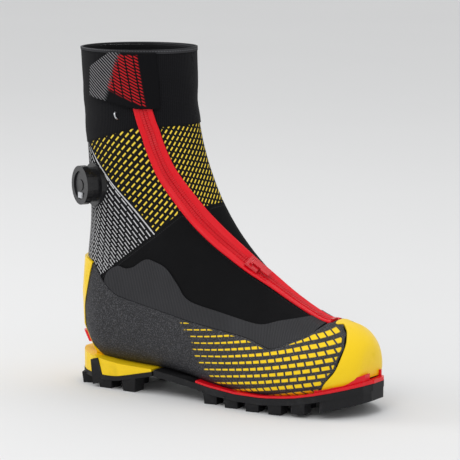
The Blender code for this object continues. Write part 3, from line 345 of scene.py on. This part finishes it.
def skin(name, top, thickness, s_range, angles, fields, step=(0.125, 3.0), body="boot",
         replaces=(), close_toe=False, floor=None, wave=None):
    """Smooth shell over the form, trimmed by the fields and thickened inwards."""
    rows = round((s_range[1] - s_range[0]) / step[0]) + 1
    closed = angles[1] - angles[0] >= 360.0
    columns = round((angles[1] - angles[0]) / step[1]) + (0 if closed else 1)
    s = np.linspace(*s_range, rows)
    around = angles[0] + np.arange(columns) * (angles[1] - angles[0]) / (
        columns if closed else columns - 1)
    ss, aa = (m.reshape(-1) for m in np.meshgrid(s, around, indexing="ij"))
    base = surface(ss, aa)
    zip_d = zip_distance(base, ss, aa)
    height = top(ss, aa) if callable(top) else np.full(len(ss), float(top))
    if wave is not None:
        height = height + wave(base, ss, aa)
    points = offset_point(ss, aa, height)
    if floor is not None:
        points[:, 2] = np.maximum(points[:, 2], sole_z(points[:, 0]) + floor)
    # Columns: point, unrolled x, z, zip distance, distance to the rim, point on the form.
    table = np.column_stack([points, unrolled(ss, aa), base[:, 2], zip_d,
                             np.full(len(ss), 1e3), base])
    faces = []
    for i in range(rows - 1):
        for j in range(columns if closed else columns - 1):
            k = (j + 1) % columns
            faces.append((i * columns + j, (i + 1) * columns + j,
                          (i + 1) * columns + k, i * columns + k))
    if close_toe:
        middle = table[:columns].mean(0)
        table = np.vstack([table, middle])
        faces += [(len(table) - 1, j, (j + 1) % columns) for j in range(columns)]
    for field in fields:
        values = field(table[:, 7:10], table[:, 5])
        if (values > 0).all():
            table[:, 6] = np.minimum(table[:, 6], values)
            continue
        table, faces = clip(table, faces, values)
        values = field(table[:, 7:10], table[:, 5])
        table[:, 6] = np.minimum(table[:, 6], np.maximum(values, 0.0))
    used = np.unique([i for face in faces for i in face])
    remap = np.full(len(table), -1)
    remap[used] = np.arange(len(used))
    table = table[used]
    mesh = bpy.data.meshes.new(name)
    mesh.from_pydata(to_world(table[:, :3]).tolist(), [],
                     [tuple(int(remap[i]) for i in face) for face in faces])
    for label, columns_of in (("pat", (3, 4, 5)), ("rim", (6, 6, 6))):
        data = mesh.attributes.new(label, "FLOAT_VECTOR", "POINT")
        data.data.foreach_set("vector", table[:, list(columns_of)].astype(np.float32).ravel())
    obj = bpy.data.objects.new(name, mesh)
    bpy.context.scene.collection.objects.link(obj)
    weld = obj.modifiers.new("weld", "WELD")
    weld.merge_threshold = 0.00004
    thick = obj.modifiers.new("thick", "SOLIDIFY")
    thick.thickness = thickness * MM
    thick.offset = -1.0
    thick.use_even_offset = False
    finish_mesh(obj)
    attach(obj, body)
    if replaces:
        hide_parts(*replaces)
    return obj


def finish_mesh(obj):
    """Apply the modifiers and shade smooth with sharp edges above an angle."""
    graph = bpy.context.evaluated_depsgraph_get()
    mesh = bpy.data.meshes.new_from_object(obj.evaluated_get(graph))
    obj.modifiers.clear()
    obj.data = mesh
    mesh.polygons.foreach_set("use_smooth", [True] * len(mesh.polygons))
    mesh.set_sharp_from_angle(angle=math.radians(SKIN_SHARP))


# -------------------------------------------------------------- material building
class Value:
    """A number in a node tree, with arithmetic."""

    def __init__(self, graph, socket):
        self.graph, self.socket = graph, socket

    def __add__(self, other):
        return self.graph.math("ADD", self, other)

    def __sub__(self, other):
        return self.graph.math("SUBTRACT", self, other)

    def __radd__(self, other):
        return self.graph.math("ADD", other, self)

    def __mul__(self, other):
        return self.graph.math("MULTIPLY", self, other)

    def __rsub__(self, other):
        return self.graph.math("SUBTRACT", other, self)

    def __truediv__(self, other):
        return self.graph.math("DIVIDE", self, other)


class Graph:
    """A material's node tree and its Principled shader."""

    def __init__(self, name, colour, roughness, **sockets):
        self.mat = bpy.data.materials.new(name)
        self.mat.use_nodes = True
        self.tree = self.mat.node_tree
        self.shader = self.tree.nodes["Principled BSDF"]
        self.shader.inputs["Base Color"].default_value = (*colour, 1.0)
        self.shader.inputs["Roughness"].default_value = roughness
        for key, value in sockets.items():
            self.shader.inputs[key.replace("_", " ")].default_value = value
        self.coords = self.tree.nodes.new("ShaderNodeTexCoord")
        self.attributes = {}

    def put(self, socket, value):
        if isinstance(value, Value):
            self.tree.links.new(value.socket, socket)
        else:
            socket.default_value = value

    def math(self, operation, *values):
        node = self.tree.nodes.new("ShaderNodeMath")
        node.operation = operation
        for socket, value in zip(node.inputs, values):
            self.put(socket, value)
        return Value(self, node.outputs[0])

    def attribute(self, name):
        """The three numbers of a mesh attribute, in working millimetres."""
        if name not in self.attributes:
            node = self.tree.nodes.new("ShaderNodeAttribute")
            node.attribute_name = name
            split = self.tree.nodes.new("ShaderNodeSeparateXYZ")
            self.tree.links.new(node.outputs["Vector"], split.inputs[0])
            self.attributes[name] = [Value(self, o) for o in split.outputs]
        return self.attributes[name]

    def frac(self, value):
        return self.math("FRACT", value)

    def step(self, value, low, high):
        """0 below low, 1 above high, smooth between."""
        node = self.tree.nodes.new("ShaderNodeMapRange")
        node.interpolation_type = "SMOOTHSTEP"
        for key, entry in (("Value", value), ("From Min", low), ("From Max", high)):
            self.put(node.inputs[key], entry)
        return Value(self, node.outputs[0])

    def band(self, value, half, soft=0.08):
        """1 where value is within half of 0.5, for value from 0 to 1."""
        away = self.math("ABSOLUTE", value - 0.5)
        return self.step(half - away, -soft / 2, soft / 2)

    def noise(self, scale, detail=3.0, rough=0.5, stretch=None):
        """Noise over the object's own coordinates, in metres."""
        node = self.tree.nodes.new("ShaderNodeTexNoise")
        node.inputs["Scale"].default_value = scale
        node.inputs["Detail"].default_value = detail
        node.inputs["Roughness"].default_value = rough
        source = self.coords.outputs["Object"]
        if stretch is not None:
            mapping = self.tree.nodes.new("ShaderNodeMapping")
            mapping.inputs["Scale"].default_value = stretch
            self.tree.links.new(source, mapping.inputs["Vector"])
            source = mapping.outputs[0]
        self.tree.links.new(source, node.inputs["Vector"])
        return Value(self, node.outputs["Fac"])

    def mix(self, factor, a, b):
        """Colour a to b."""
        node = self.tree.nodes.new("ShaderNodeMix")
        node.data_type = "RGBA"
        self.put(node.inputs["Factor"], factor)
        for socket, value in ((node.inputs[6], a), (node.inputs[7], b)):
            if isinstance(value, Value):
                self.tree.links.new(value.socket, socket)
            else:
                socket.default_value = (*value, 1.0)
        return Value(self, node.outputs[2])

    def colour(self, value):
        self.tree.links.new(value.socket, self.shader.inputs["Base Color"])

    def roughness(self, value):
        self.tree.links.new(value.socket, self.shader.inputs["Roughness"])

    def bump(self, value, depth_mm, strength=1.0):
        """Raise the surface by value times a depth in millimetres."""
        node = self.tree.nodes.new("ShaderNodeBump")
        node.inputs["Strength"].default_value = strength
        node.inputs["Distance"].default_value = depth_mm * MM
        self.tree.links.new(value.socket, node.inputs["Height"])
        socket = self.shader.inputs["Normal"]
        if socket.links:
            self.tree.links.new(socket.links[0].from_socket, node.inputs["Normal"])
        self.tree.links.new(node.outputs[0], socket)

    def dashes(self, u, v, degrees, pitch, period, half_width, half_length, shift=0.5,
               soft=0.14):
        """Rows of dashes at an angle in the (u, v) plane, in millimetres."""
        a = math.radians(degrees)
        along = u * math.cos(a) + v * math.sin(a)
        across = (v * math.cos(a) - u * math.sin(a)) / pitch
        row = self.math("FLOOR", across)
        run = self.frac(along / period + row * shift)
        return self.band(self.frac(across), half_width, soft) * self.band(
            run, half_length, soft * 0.7)


def finish_of(obj, graph):
    """Give the object the material."""
    obj.data.materials.clear()
    obj.data.materials.append(graph.mat)


def stitches(g, distance, place, at, spacing=2.6, half=0.45):
    """A row of stitches at a distance from a rim, as a mask."""
    line = g.step(g.math("ABSOLUTE", distance - at), half, half * 0.4)
    return line * g.band(g.frac(place / spacing), 0.33, 0.12)


def knit_bump(g, scale, depth):
    """Fine loops of a knitted face."""
    u, v, _ = g.attribute("pat")
    wale = g.math("SINE", u * (TWO_PI / scale))
    course = g.math("SINE", v * (TWO_PI / (scale * 0.8)) + g.math("ABSOLUTE", wale) * 1.5)
    loops = wale * 0.5 + course * 0.5
    g.bump(loops, depth, 0.8)
    return loops


BLACK = (0.010, 0.010, 0.012)
CUFF_BLACK = (0.005, 0.005, 0.006)
YELLOW = (0.94, 0.63, 0.006)
RED = (0.74, 0.001, 0.010)


def knit_base(g, rim_shade_span=(0.8, 1.4)):
    """Dark loops of the knit, and a fade that clears the pattern near its rim: painted shade along
    the edge.
    """
    loops = knit_bump(g, 1.5, 0.10)
    dark = g.mix(loops * 0.5 + 0.5, (0.003, 0.003, 0.004), (0.012, 0.012, 0.013))
    return dark, g.step(g.attribute("rim")[0], *rim_shade_span)


def yellow_knit(name, degrees, pitch, period, gain):
    """Black knit with rows of yellow dashes, wider near the zip."""
    g = Graph(name, BLACK, 0.85, Specular_IOR_Level=0.10)
    u, v, d = g.attribute("pat")
    near = g.step(g.math("ABSOLUTE", d), 66.0, 12.0)
    bend = g.math("ABSOLUTE", d) * 0.004
    half = near * gain + 0.105
    mask = g.dashes(u, v + u * bend * 0.1, degrees, pitch, period, half, 0.34, 0.37)
    dark, inner = knit_base(g)
    tone = g.mix(g.noise(260.0), (1.0, 0.74, 0.07), (0.84, 0.62, 0.07))
    # The dashes fade out near the rim, leaving a dark band: painted shade along the edge.
    g.colour(g.mix(mask * inner, dark, tone))
    g.bump(mask, 0.28)
    return g


def white_knit(name):
    """Black knit with rows of fine white dashes, greyer low down and at the back."""
    g = Graph(name, BLACK, 0.85, Specular_IOR_Level=0.10)
    u, v, _ = g.attribute("pat")
    (ax, az), (bx, bz) = DIAGONAL
    size = math.hypot(bx - ax, bz - az)
    away = ((u - ax) * ((az - bz) / size) + (v - az) * ((bx - ax) / size)) * -1.0
    turn = v + u * g.step(away, 10.0, 90.0) * 0.22
    mask = g.dashes(u, turn, -47.0, 3.9, 9.5, 0.125, 0.41, 0.37)
    fine = g.dashes(u, v, 48.0, 3.4, 4.6, 0.14, 0.30)
    low = g.step(away, 34.0, 70.0)
    mask = g.math("MAXIMUM", mask, fine * low * 0.45)
    line = g.step(g.math("ABSOLUTE", away - 1.3), 0.75, 0.4)
    dark, inner = knit_base(g, (0.3, 0.8))
    white = g.mix(g.noise(300.0), (0.78, 0.78, 0.79), (0.50, 0.50, 0.51))
    # The dashes fade out near the rim, leaving a dark band: painted shade along the edge.
    mask = g.math("MAXIMUM", mask * inner, line)
    g.colour(g.mix(mask, dark, white))
    g.bump(mask, 0.22)
    return g


def plain_cloth(name, colour, scale=1.2, depth=0.12, light=2.2, roughness=0.9, seam=True,
                sheen=0.02):
    """Woven or knitted cloth of one colour with a seam along its rim."""
    g = Graph(name, colour, roughness, Sheen_Weight=sheen, Specular_IOR_Level=0.10)
    loops = knit_bump(g, scale, depth)
    soft = g.noise(26.0, 4.0) * 0.7 + (loops * 0.5 + 0.5) * 0.3
    tone = g.mix(soft, tuple(c * 0.4 for c in colour), tuple(c * light for c in colour))
    if seam:
        rim = g.attribute("rim")[0]
        u, v, _ = g.attribute("pat")
        thread = stitches(g, rim, u + v * 0.6, 2.2)
        tone = g.mix(thread, tone, tuple(min(1.0, c * 3 + 0.01) for c in colour))
        g.bump(g.step(rim, 0.0, 1.6) - thread * 0.3, 0.5)
    g.colour(tone)
    return g


def ribbed(name, colour, pitch, degrees, depth=0.3, light=2.4):
    """Film with fine ribs."""
    g = Graph(name, colour, 0.5, Specular_IOR_Level=0.25)
    u, v, _ = g.attribute("pat")
    a = math.radians(degrees)
    across = (u * math.sin(a) - v * math.cos(a)) * (TWO_PI / pitch)
    ribs = g.math("SINE", across) * 0.5 + 0.5
    g.colour(g.mix(ribs * 0.6 + g.noise(60.0, 4.0) * 0.4, tuple(c * 0.45 for c in colour),
                   tuple(c * light for c in colour)))
    g.bump(ribs, depth)
    g.roughness(g.noise(120.0) * 0.25 + 0.42)
    return g


def speckled(name):
    """Charcoal laminate with pale specks, and yellow dashes on the forefoot."""
    g = Graph(name, (0.05, 0.05, 0.055), 0.55, Specular_IOR_Level=0.25)
    u, v, _ = g.attribute("pat")
    speck = g.step(g.noise(900.0, 2.0, 0.7), 0.50, 0.66)
    fleck = g.step(g.noise(1700.0, 1.0, 0.6), 0.52, 0.68)
    grain = speck * 0.65 + fleck * 0.35
    tone = g.mix(grain, (0.012, 0.012, 0.014), (0.115, 0.115, 0.125))
    tone = g.mix(g.noise(18.0, 3.0), tone, g.mix(grain, (0.022, 0.022, 0.024), (0.11, 0.11, 0.12)))
    near_toe = g.step(u, -30.0, 112.0)
    half = near_toe * 0.18 + 0.08
    rows = v - u * u * 0.0004
    mask = g.dashes(u, rows, 6.0, 5.9, 8.0, half, 0.39, 0.45, 0.12)
    start = u - (75.0 - v) * 0.55 + g.math("SINE", v * 0.9) * 2.5
    # Dashes start on the forefoot; their fade near the rim leaves a dark band, painted shade along
    # the edge.
    mask = mask * g.step(start, -30.0, -27.0) * g.step(g.attribute("rim")[0], 1.2, 2.0)
    g.colour(g.mix(mask, tone, YELLOW))
    g.bump(grain, 0.10)
    g.bump(mask, 0.25)
    g.roughness(g.noise(90.0) * 0.2 + 0.45)
    return g


def moulded(name, colour, roughness=0.38, coat=0.2, grain=0.05, dark=0.75):
    """Moulded plastic or rubber: faint grain, scuffs and dirt in the noise."""
    g = Graph(name, colour, roughness, Coat_Weight=coat, Coat_Roughness=0.25,
              Specular_IOR_Level=0.22)
    scuff = g.step(g.noise(38.0, 6.0, 0.65), 0.48, 0.72)
    fine = g.noise(900.0, 2.0)
    g.colour(g.mix(scuff * 0.5 + fine * 0.3, colour, tuple(c * dark for c in colour)))
    g.roughness(scuff * 0.18 + fine * 0.1 + roughness - 0.06)
    g.bump(fine * 0.6 + g.noise(300.0, 2.0) * 0.4, grain)
    return g


def rubber(name, colour=(0.007, 0.007, 0.008)):
    """Black tread rubber: matte, with a grain and worn pale patches."""
    g = Graph(name, colour, 0.6, Specular_IOR_Level=0.2)
    wear = g.step(g.noise(55.0, 6.0, 0.7), 0.5, 0.75)
    g.colour(g.mix(wear * 0.7 + g.noise(700.0) * 0.3, colour, (0.028, 0.028, 0.030)))
    g.roughness(wear * 0.2 + 0.5)
    g.bump(g.noise(800.0, 3.0), 0.12)
    return g


def metal(name, colour, roughness=0.3):
    """Brushed metal."""
    g = Graph(name, colour, roughness, Metallic=1.0)
    brush = g.noise(400.0, 3.0, 0.6, stretch=(1.0, 1.0, 12.0))
    g.colour(g.mix(brush, tuple(c * 0.8 for c in colour), colour))
    g.roughness(brush * 0.2 + roughness - 0.08)
    return g


# -------------------------------------------------------------------------- skins
def build_gaiter():
    """Vamp, two knit fronts, knit back, cuff and binding."""
    off = off_zip(ZIP_HALF + 0.2)
    vamp = skin("vamp", 0.0, 1.0, (0.5, 15.0), (0.0, 360.0),
                [below(KNIT_LINE, 0.1), off], replaces=["gaiter_vamp"])
    finish_of(vamp, plain_cloth("vamp_fabric", (0.004, 0.004, 0.0045), 1.1, 0.14))
    front = [above(KNIT_LINE, 0.1), below(CUFF_LINE, 0.1), beyond(*DIAGONAL, gap=0.1), off]
    for side, keep, angles, look in (
            ("lateral", lateral_of_zip, (30.0, 150.0), (49.0, 4.9, 7.2, 0.055)),
            ("medial", medial_of_zip, (-150.0, 90.0), (58.0, 4.5, 5.3, 0.055))):
        piece = skin("knit_front_%s_face" % side, 0.0, 1.0, (8.0, 17.5), angles, front + [keep],
                     replaces=["knit_front_" + side])
        finish_of(piece, yellow_knit("yellow_dashes_" + side, *look))
    back_fields = [above(KNIT_LINE, 0.1), below(CUFF_LINE, 0.1),
                   beyond(DIAGONAL[1], DIAGONAL[0], 0.1)]
    piece = skin("knit_back_face", 0.0, 1.0, (9.5, 17.5), (60.0, 300.0), back_fields,
                 replaces=["knit_back"])
    finish_of(piece, white_knit("white_dash_knit"))

    def wrinkles(base, s, angle):
        up = base[:, 2]
        return (0.35 * np.sin(up * 0.21 + 1.5 * np.sin(np.radians(angle) * 3.0))
                * np.clip((300.0 - up) / 30.0, 0.0, 1.0))
    cuff = skin("cuff_face", 0.8, 1.6, (10.0, 18.0), (0.0, 360.0),
                [above(CUFF_LINE, -0.6), below([(-200, TOP_BAND_Z), (50, TOP_BAND_Z)], 0.0), off],
                replaces=["cuff"], wave=wrinkles)
    finish_of(cuff, ribbed_cloth("cuff_rib"))
    binding = skin("cuff_binding_face", 1.2, 2.0, (16.5, 18.0), (0.0, 360.0),
                   [above([(-200, TOP_BAND_Z), (50, TOP_BAND_Z)], 0.1)],
                   replaces=["cuff_binding"])
    finish_of(binding, plain_cloth("binding_tape", (0.035, 0.035, 0.038), 0.9, 0.15, 2.0))


def ribbed_cloth(name):
    """Black stretch rib of the cuff."""
    g = Graph(name, (0.008, 0.008, 0.009), 0.92, Sheen_Weight=0.03, Specular_IOR_Level=0.10)
    u, v, _ = g.attribute("pat")
    ribs = g.math("SINE", u * (TWO_PI / 1.8))
    loops = g.math("SINE", v * (TWO_PI / 1.3) + g.math("ABSOLUTE", ribs) * 1.6)
    soft = ribs * 0.3 + loops * 0.2 + 0.5
    g.colour(g.mix(soft * 0.7 + g.noise(30.0, 4.0) * 0.3, (0.002, 0.002, 0.0025),
                   (0.012, 0.012, 0.014)))
    g.bump(soft, 0.30)
    rim = g.attribute("rim")[0]
    g.bump(g.step(rim, 0.0, 1.8), 0.5)
    return g


def build_foot():
    """Rand, overlays and toe cap over the vamp."""
    back_edge = [(x + GAP, z) for x, z in HEEL_STAY_EDGE]
    cap_edge = [(x - GAP, z) for x, z in TOE_CAP_EDGE[1:-1]]
    under = [(112.5, 21.0)] + [(x, z + 1.6) for x, z in reversed(SOLE_LINE[3:9])]
    under = under + [(-103.0, 25.6), (-127.0, 28.6)]
    rand = curve_through(RAND_TOP, 60).tolist() + cap_edge + under + back_edge[::-1]
    top = curve_through(OVERLAY_TOP, 70).tolist()
    lower = [(x, z + 0.4) for x, z in curve_through(RAND_TOP, 60)[:-2].tolist()[::-1]]
    off = off_zip(ZIP_HALF + 0.2)
    rand_look, overlay_look = speckled("speckled_laminate"), ribbed(
        "ribbed_film", (0.016, 0.016, 0.018), 1.7, 82.0)
    for side, angles in (("lateral", (0.0, 180.0)), ("medial", (180.0, 360.0))):
        piece = skin("rand_%s_face" % side, 1.5, 1.2, (0.75, 15.0), angles,
                     [inside(rand), off], step=(0.1, 2.5), replaces=["rand_" + side])
        finish_of(piece, rand_look)
        piece = skin("overlay_%s_face" % side, 1.2, 0.9, (0.75, 15.0), angles,
                     [inside(top + lower), off], step=(0.1, 2.5), replaces=["overlay_" + side])
        finish_of(piece, overlay_look)
    edge = curve_through(TOE_CAP_EDGE, 60).tolist()
    outline = edge + [(128.0, 25.5), (139.0, 31.0), (150.0, 38.0), (170.0, 40.0), (170.0, 100.0)]
    cap = skin("toe_cap_face", 2.1, 1.7, (0.0, 5.5), (0.0, 360.0), [inside(outline)],
               step=(0.1, 3.0), close_toe=True, replaces=["toe_cap"])
    finish_of(cap, moulded("toe_cap_tpu", YELLOW, 0.40, 0.12, 0.05, 0.88))


def build_liner():
    """Quilted liner seen down the leg opening."""
    def depth(s, angle):
        quilt = 0.9 * np.abs(np.sin(np.radians(angle) * 9.0)) ** 0.5
        return -np.interp(s, [4.0, 8.0], [4.4, 7.7]) + quilt - 0.6

    def lower_top(p, zip_d):
        return LINER_TOP_Z - p[:, 2]
    piece = skin("liner_face", depth, 2.2, (2.7, 17.6), (0.0, 360.0), [lower_top],
                 step=(0.15, 2.5), floor=12.0, close_toe=True, replaces=["liner"])
    finish_of(piece, plain_cloth("liner_cloth", (0.05, 0.05, 0.055), 1.4, 0.2, 1.8))


def sweep(name, path, profile, looks, replaces=(), body="boot", sharp=40.0):
    """Closed solid with an (across, height) profile at every point of the path."""
    points, across, up = path
    count = len(profile(0))
    verts, faces = [], []
    for i in range(len(points)):
        verts += [points[i] + across[i] * a + up[i] * h for a, h in profile(i)]
    for i in range(len(points) - 1):
        for j in range(count):
            k = (j + 1) % count
            faces.append((i * count + j, i * count + k, (i + 1) * count + k,
                          (i + 1) * count + j))
    faces.append(tuple(reversed(range(count))))
    faces.append(tuple(range((len(points) - 1) * count, len(points) * count)))
    mesh = bpy.data.meshes.new(name)
    mesh.from_pydata(to_world(verts).tolist(), [], faces)
    obj = bpy.data.objects.new(name, mesh)
    bpy.context.scene.collection.objects.link(obj)
    solid(obj, sharp)
    finish_of(obj, looks)
    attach(obj, body)
    if replaces:
        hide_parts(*replaces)


def solid(obj, sharp=40.0):
    """Point the faces outwards and shade smooth."""
    bm = bmesh.new()
    bm.from_mesh(obj.data)
    bmesh.ops.recalc_face_normals(bm, faces=bm.faces)
    bm.to_mesh(obj.data)
    bm.free()
    obj.data.polygons.foreach_set("use_smooth", [True] * len(obj.data.polygons))
    obj.data.set_sharp_from_angle(angle=math.radians(sharp))


def build_zip():
    """Glossy tapes with rounded edges and an interlocked tooth chain."""
    path = zip_path(170)
    gloss = moulded("zip_coating", RED, 0.36, 0.12, 0.03, 0.8)
    side = moulded("zip_teeth_coat", (0.62, 0.002, 0.010), 0.4, 0.04, 0.03, 0.75)

    def tape(sign, i):
        t = i / (len(path[0]) - 1.0)
        wide = ZIP_HALF + 0.5 + 1.3 * math.sin(math.pi * min(1.0, t * 1.1)) ** 2
        half = [(0.25, -0.6), (ZIP_HALF, -0.6), (ZIP_HALF, 0.15), (wide, 0.15),
                (wide, 1.2), (wide - 0.5, 1.8), (wide - 1.6, 2.1), (6.0, 1.9), (4.8, 1.6),
                (3.7, 1.35), (0.25, 1.1)]
        return [(sign * a, h) for a, h in half]
    for label, sign in (("lateral", -1), ("medial", 1)):
        sweep("zip_band_" + label, path, lambda i, sign=sign: tape(sign, i), gloss,
              ["zip_tape_" + label])
    count = 300
    chain = zip_path(count, ZIP_FROM + 0.2, ZIP_TO - 0.02)

    def teeth(i):
        out = 3.6 if i % 2 else 3.3
        high = 2.15 if i % 2 else 1.75
        return [(-out, 1.2), (out, 1.2), (out, high - 0.4), (out - 0.6, high), (0.3, high),
                (0.0, high - 0.8), (-0.3, high), (0.6 - out, high), (-out, high - 0.4)]
    sweep("zip_chain", chain, teeth, side, ["zip_teeth"], sharp=25.0)


def build_strap():
    """Flap over the zip's end: slanted red dashes, a painted highlight in grey stripes on the rear
    end, a plain front.
    """
    def height(s, angle):
        t = np.clip((angle - STRAP_FRONT) / 8.0, 0.0, 1.0)
        lift = 4.6 - 2.3 * (1.0 - t * t * (3.0 - 2.0 * t))
        return lift + 0.5 * np.sin(np.radians(angle) * 7.0) * t

    piece = skin("strap_face", height, 1.3, (14.0, 18.0), (STRAP_FRONT, STRAP_END),
                 [inside(STRAP_OUTLINE)], step=(0.08, 1.9), body="cuff_strap_body",
                 replaces=["cuff_strap"])
    g = Graph("strap_cloth", CUFF_BLACK, 0.9, Specular_IOR_Level=0.10)
    u, v, _ = g.attribute("pat")
    lean = u + (v - STRAP_MIDDLE_Z) * 0.16
    column = lean / 7.6
    run = v + g.frac(column) * 4.6
    bars = g.band(g.frac(run / 3.1), 0.24, 0.16) * g.band(g.frac(column), 0.41, 0.06)
    bars = bars * g.step(u + (v - STRAP_MIDDLE_Z) * 0.14, -72.0, -73.5)
    front = g.step(u - (v - STRAP_MIDDLE_Z) * 0.35, -106.0, -101.0)
    low_rear = g.step((v - 262.0) + (u + 60.0) * 0.45, -3.0, 0.0)
    # Grey stripes on the rear end are a painted highlight, where light catches the end that faces
    # left and back.
    highlight_stripes = g.step(g.math("SINE", (u * 0.8 + v * 0.9) * 2.3), 0.2, 0.7)
    red = g.mix(g.noise(240.0), (0.60, 0.018, 0.022), (0.40, 0.010, 0.014))
    rear = g.step(u - (v - STRAP_MIDDLE_Z) * 0.35, -100.0, -106.0)
    base = g.mix(highlight_stripes * rear * 0.55, CUFF_BLACK, (0.40, 0.40, 0.42))
    rim = g.attribute("rim")[0]
    # The red bars fade out near the flap's rim, leaving a dark band: painted shade along the edge.
    mask = bars * front * low_rear * g.step(rim, 1.2, 2.2)
    g.colour(g.mix(mask, base, red))
    g.bump(mask, 0.2)
    g.bump(g.step(rim, 0.0, 1.4), 0.6)
    knit_bump(g, 1.2, 0.06)
    finish_of(piece, g)


def dress_nodes():
    """Procedural materials for the CAD nodes that stay."""
    looks = [
        (rubber("tread_rubber"), ["outsole_forefoot", "outsole_heel"]),
        (moulded("wedge_tpu", YELLOW, 0.42, 0.15), ["midsole_heel"]),
        (moulded("welt_tpu", RED, 0.34, 0.3), ["heel_welt", "toe_welt"]),
        (rubber("foam_rubber", (0.03, 0.03, 0.033)), ["midsole_foam", "shank"]),
        (moulded("slider_paint", (0.62, 0.008, 0.016), 0.22, 0.7, 0.01),
         ["zip_slider", "zip_puller", "zip_stop"]),
        (moulded("dial_plastic", (0.006, 0.006, 0.007), 0.30, 0.3, 0.03, 2.2),
         ["dial_base", "dial_knob", "dial_spool", "dial_spindle"]),
        (moulded("dial_print", (0.55, 0.56, 0.58), 0.35, 0.2), ["dial_mark"]),
        (metal("steel", (0.62, 0.63, 0.65)), ["lace_cable", "strap_keeper"]),
        (moulded("board_fibre", (0.33, 0.28, 0.20), 0.8, 0.0, 0.2),
         ["lasting_board", "footbed"]),
        (moulded("inner_cloth", (0.04, 0.04, 0.045), 0.85, 0.0, 0.3, 2.0),
         ["inner_shell", "tongue", "cuff_loop_patch", "strap_hook_patch"]
         + ["lace_guide_%d" % i for i in range(1, 6)]),
    ]
    for graph, names in looks:
        for name in names:
            obj = NODES[name]
            if not obj.material_slots:
                obj.data.materials.append(graph.mat)
            for entry in obj.material_slots:
                entry.material = graph.mat


# ------------------------------------------------------------------ floor, lights
def build_stage():
    """Wide pale floor, three soft lights and a pale sky."""
    mesh = bpy.data.meshes.new("floor")
    size = 14.0
    mesh.from_pydata([(-size, -size, 0), (size, -size, 0), (size, size, 0), (-size, size, 0)],
                     [], [(0, 1, 2, 3)])
    floor = bpy.data.objects.new("floor", mesh)
    bpy.context.scene.collection.objects.link(floor)
    g = Graph("floor_paint", (0.62, 0.63, 0.64), 0.9)
    g.colour(g.mix(g.noise(2.0, 2.0), (0.74, 0.74, 0.74), (0.76, 0.76, 0.76)))
    finish_of(floor, g)
    world = bpy.data.worlds.new("sky")
    bpy.context.scene.world = world
    world.use_nodes = True
    world.node_tree.nodes["Background"].inputs["Color"].default_value = (0.80, 0.805, 0.81, 1.0)
    world.node_tree.nodes["Background"].inputs["Strength"].default_value = 1.0
    lights = [("key", (0.5, -1.9, 1.9), 1.2, 14.0), ("left", (-2.0, -0.6, 1.2), 1.0, 12.0),
              ("top", (0.3, 0.3, 2.4), 1.2, 8.0)]
    for name, place, size, power in lights:
        light = bpy.data.lights.new(name, "AREA")
        light.size, light.energy = size, power
        obj = bpy.data.objects.new(name, light)
        bpy.context.scene.collection.objects.link(obj)
        obj.location = place
        aim = Vector((0.0, 0.0, 0.13)) - Vector(place)
        obj.rotation_euler = aim.to_track_quat("-Z", "Y").to_euler()


build_gaiter()
build_foot()
build_liner()
build_zip()
build_strap()
dress_nodes()
build_stage()
bpy.context.scene.view_settings.view_transform = "Standard"
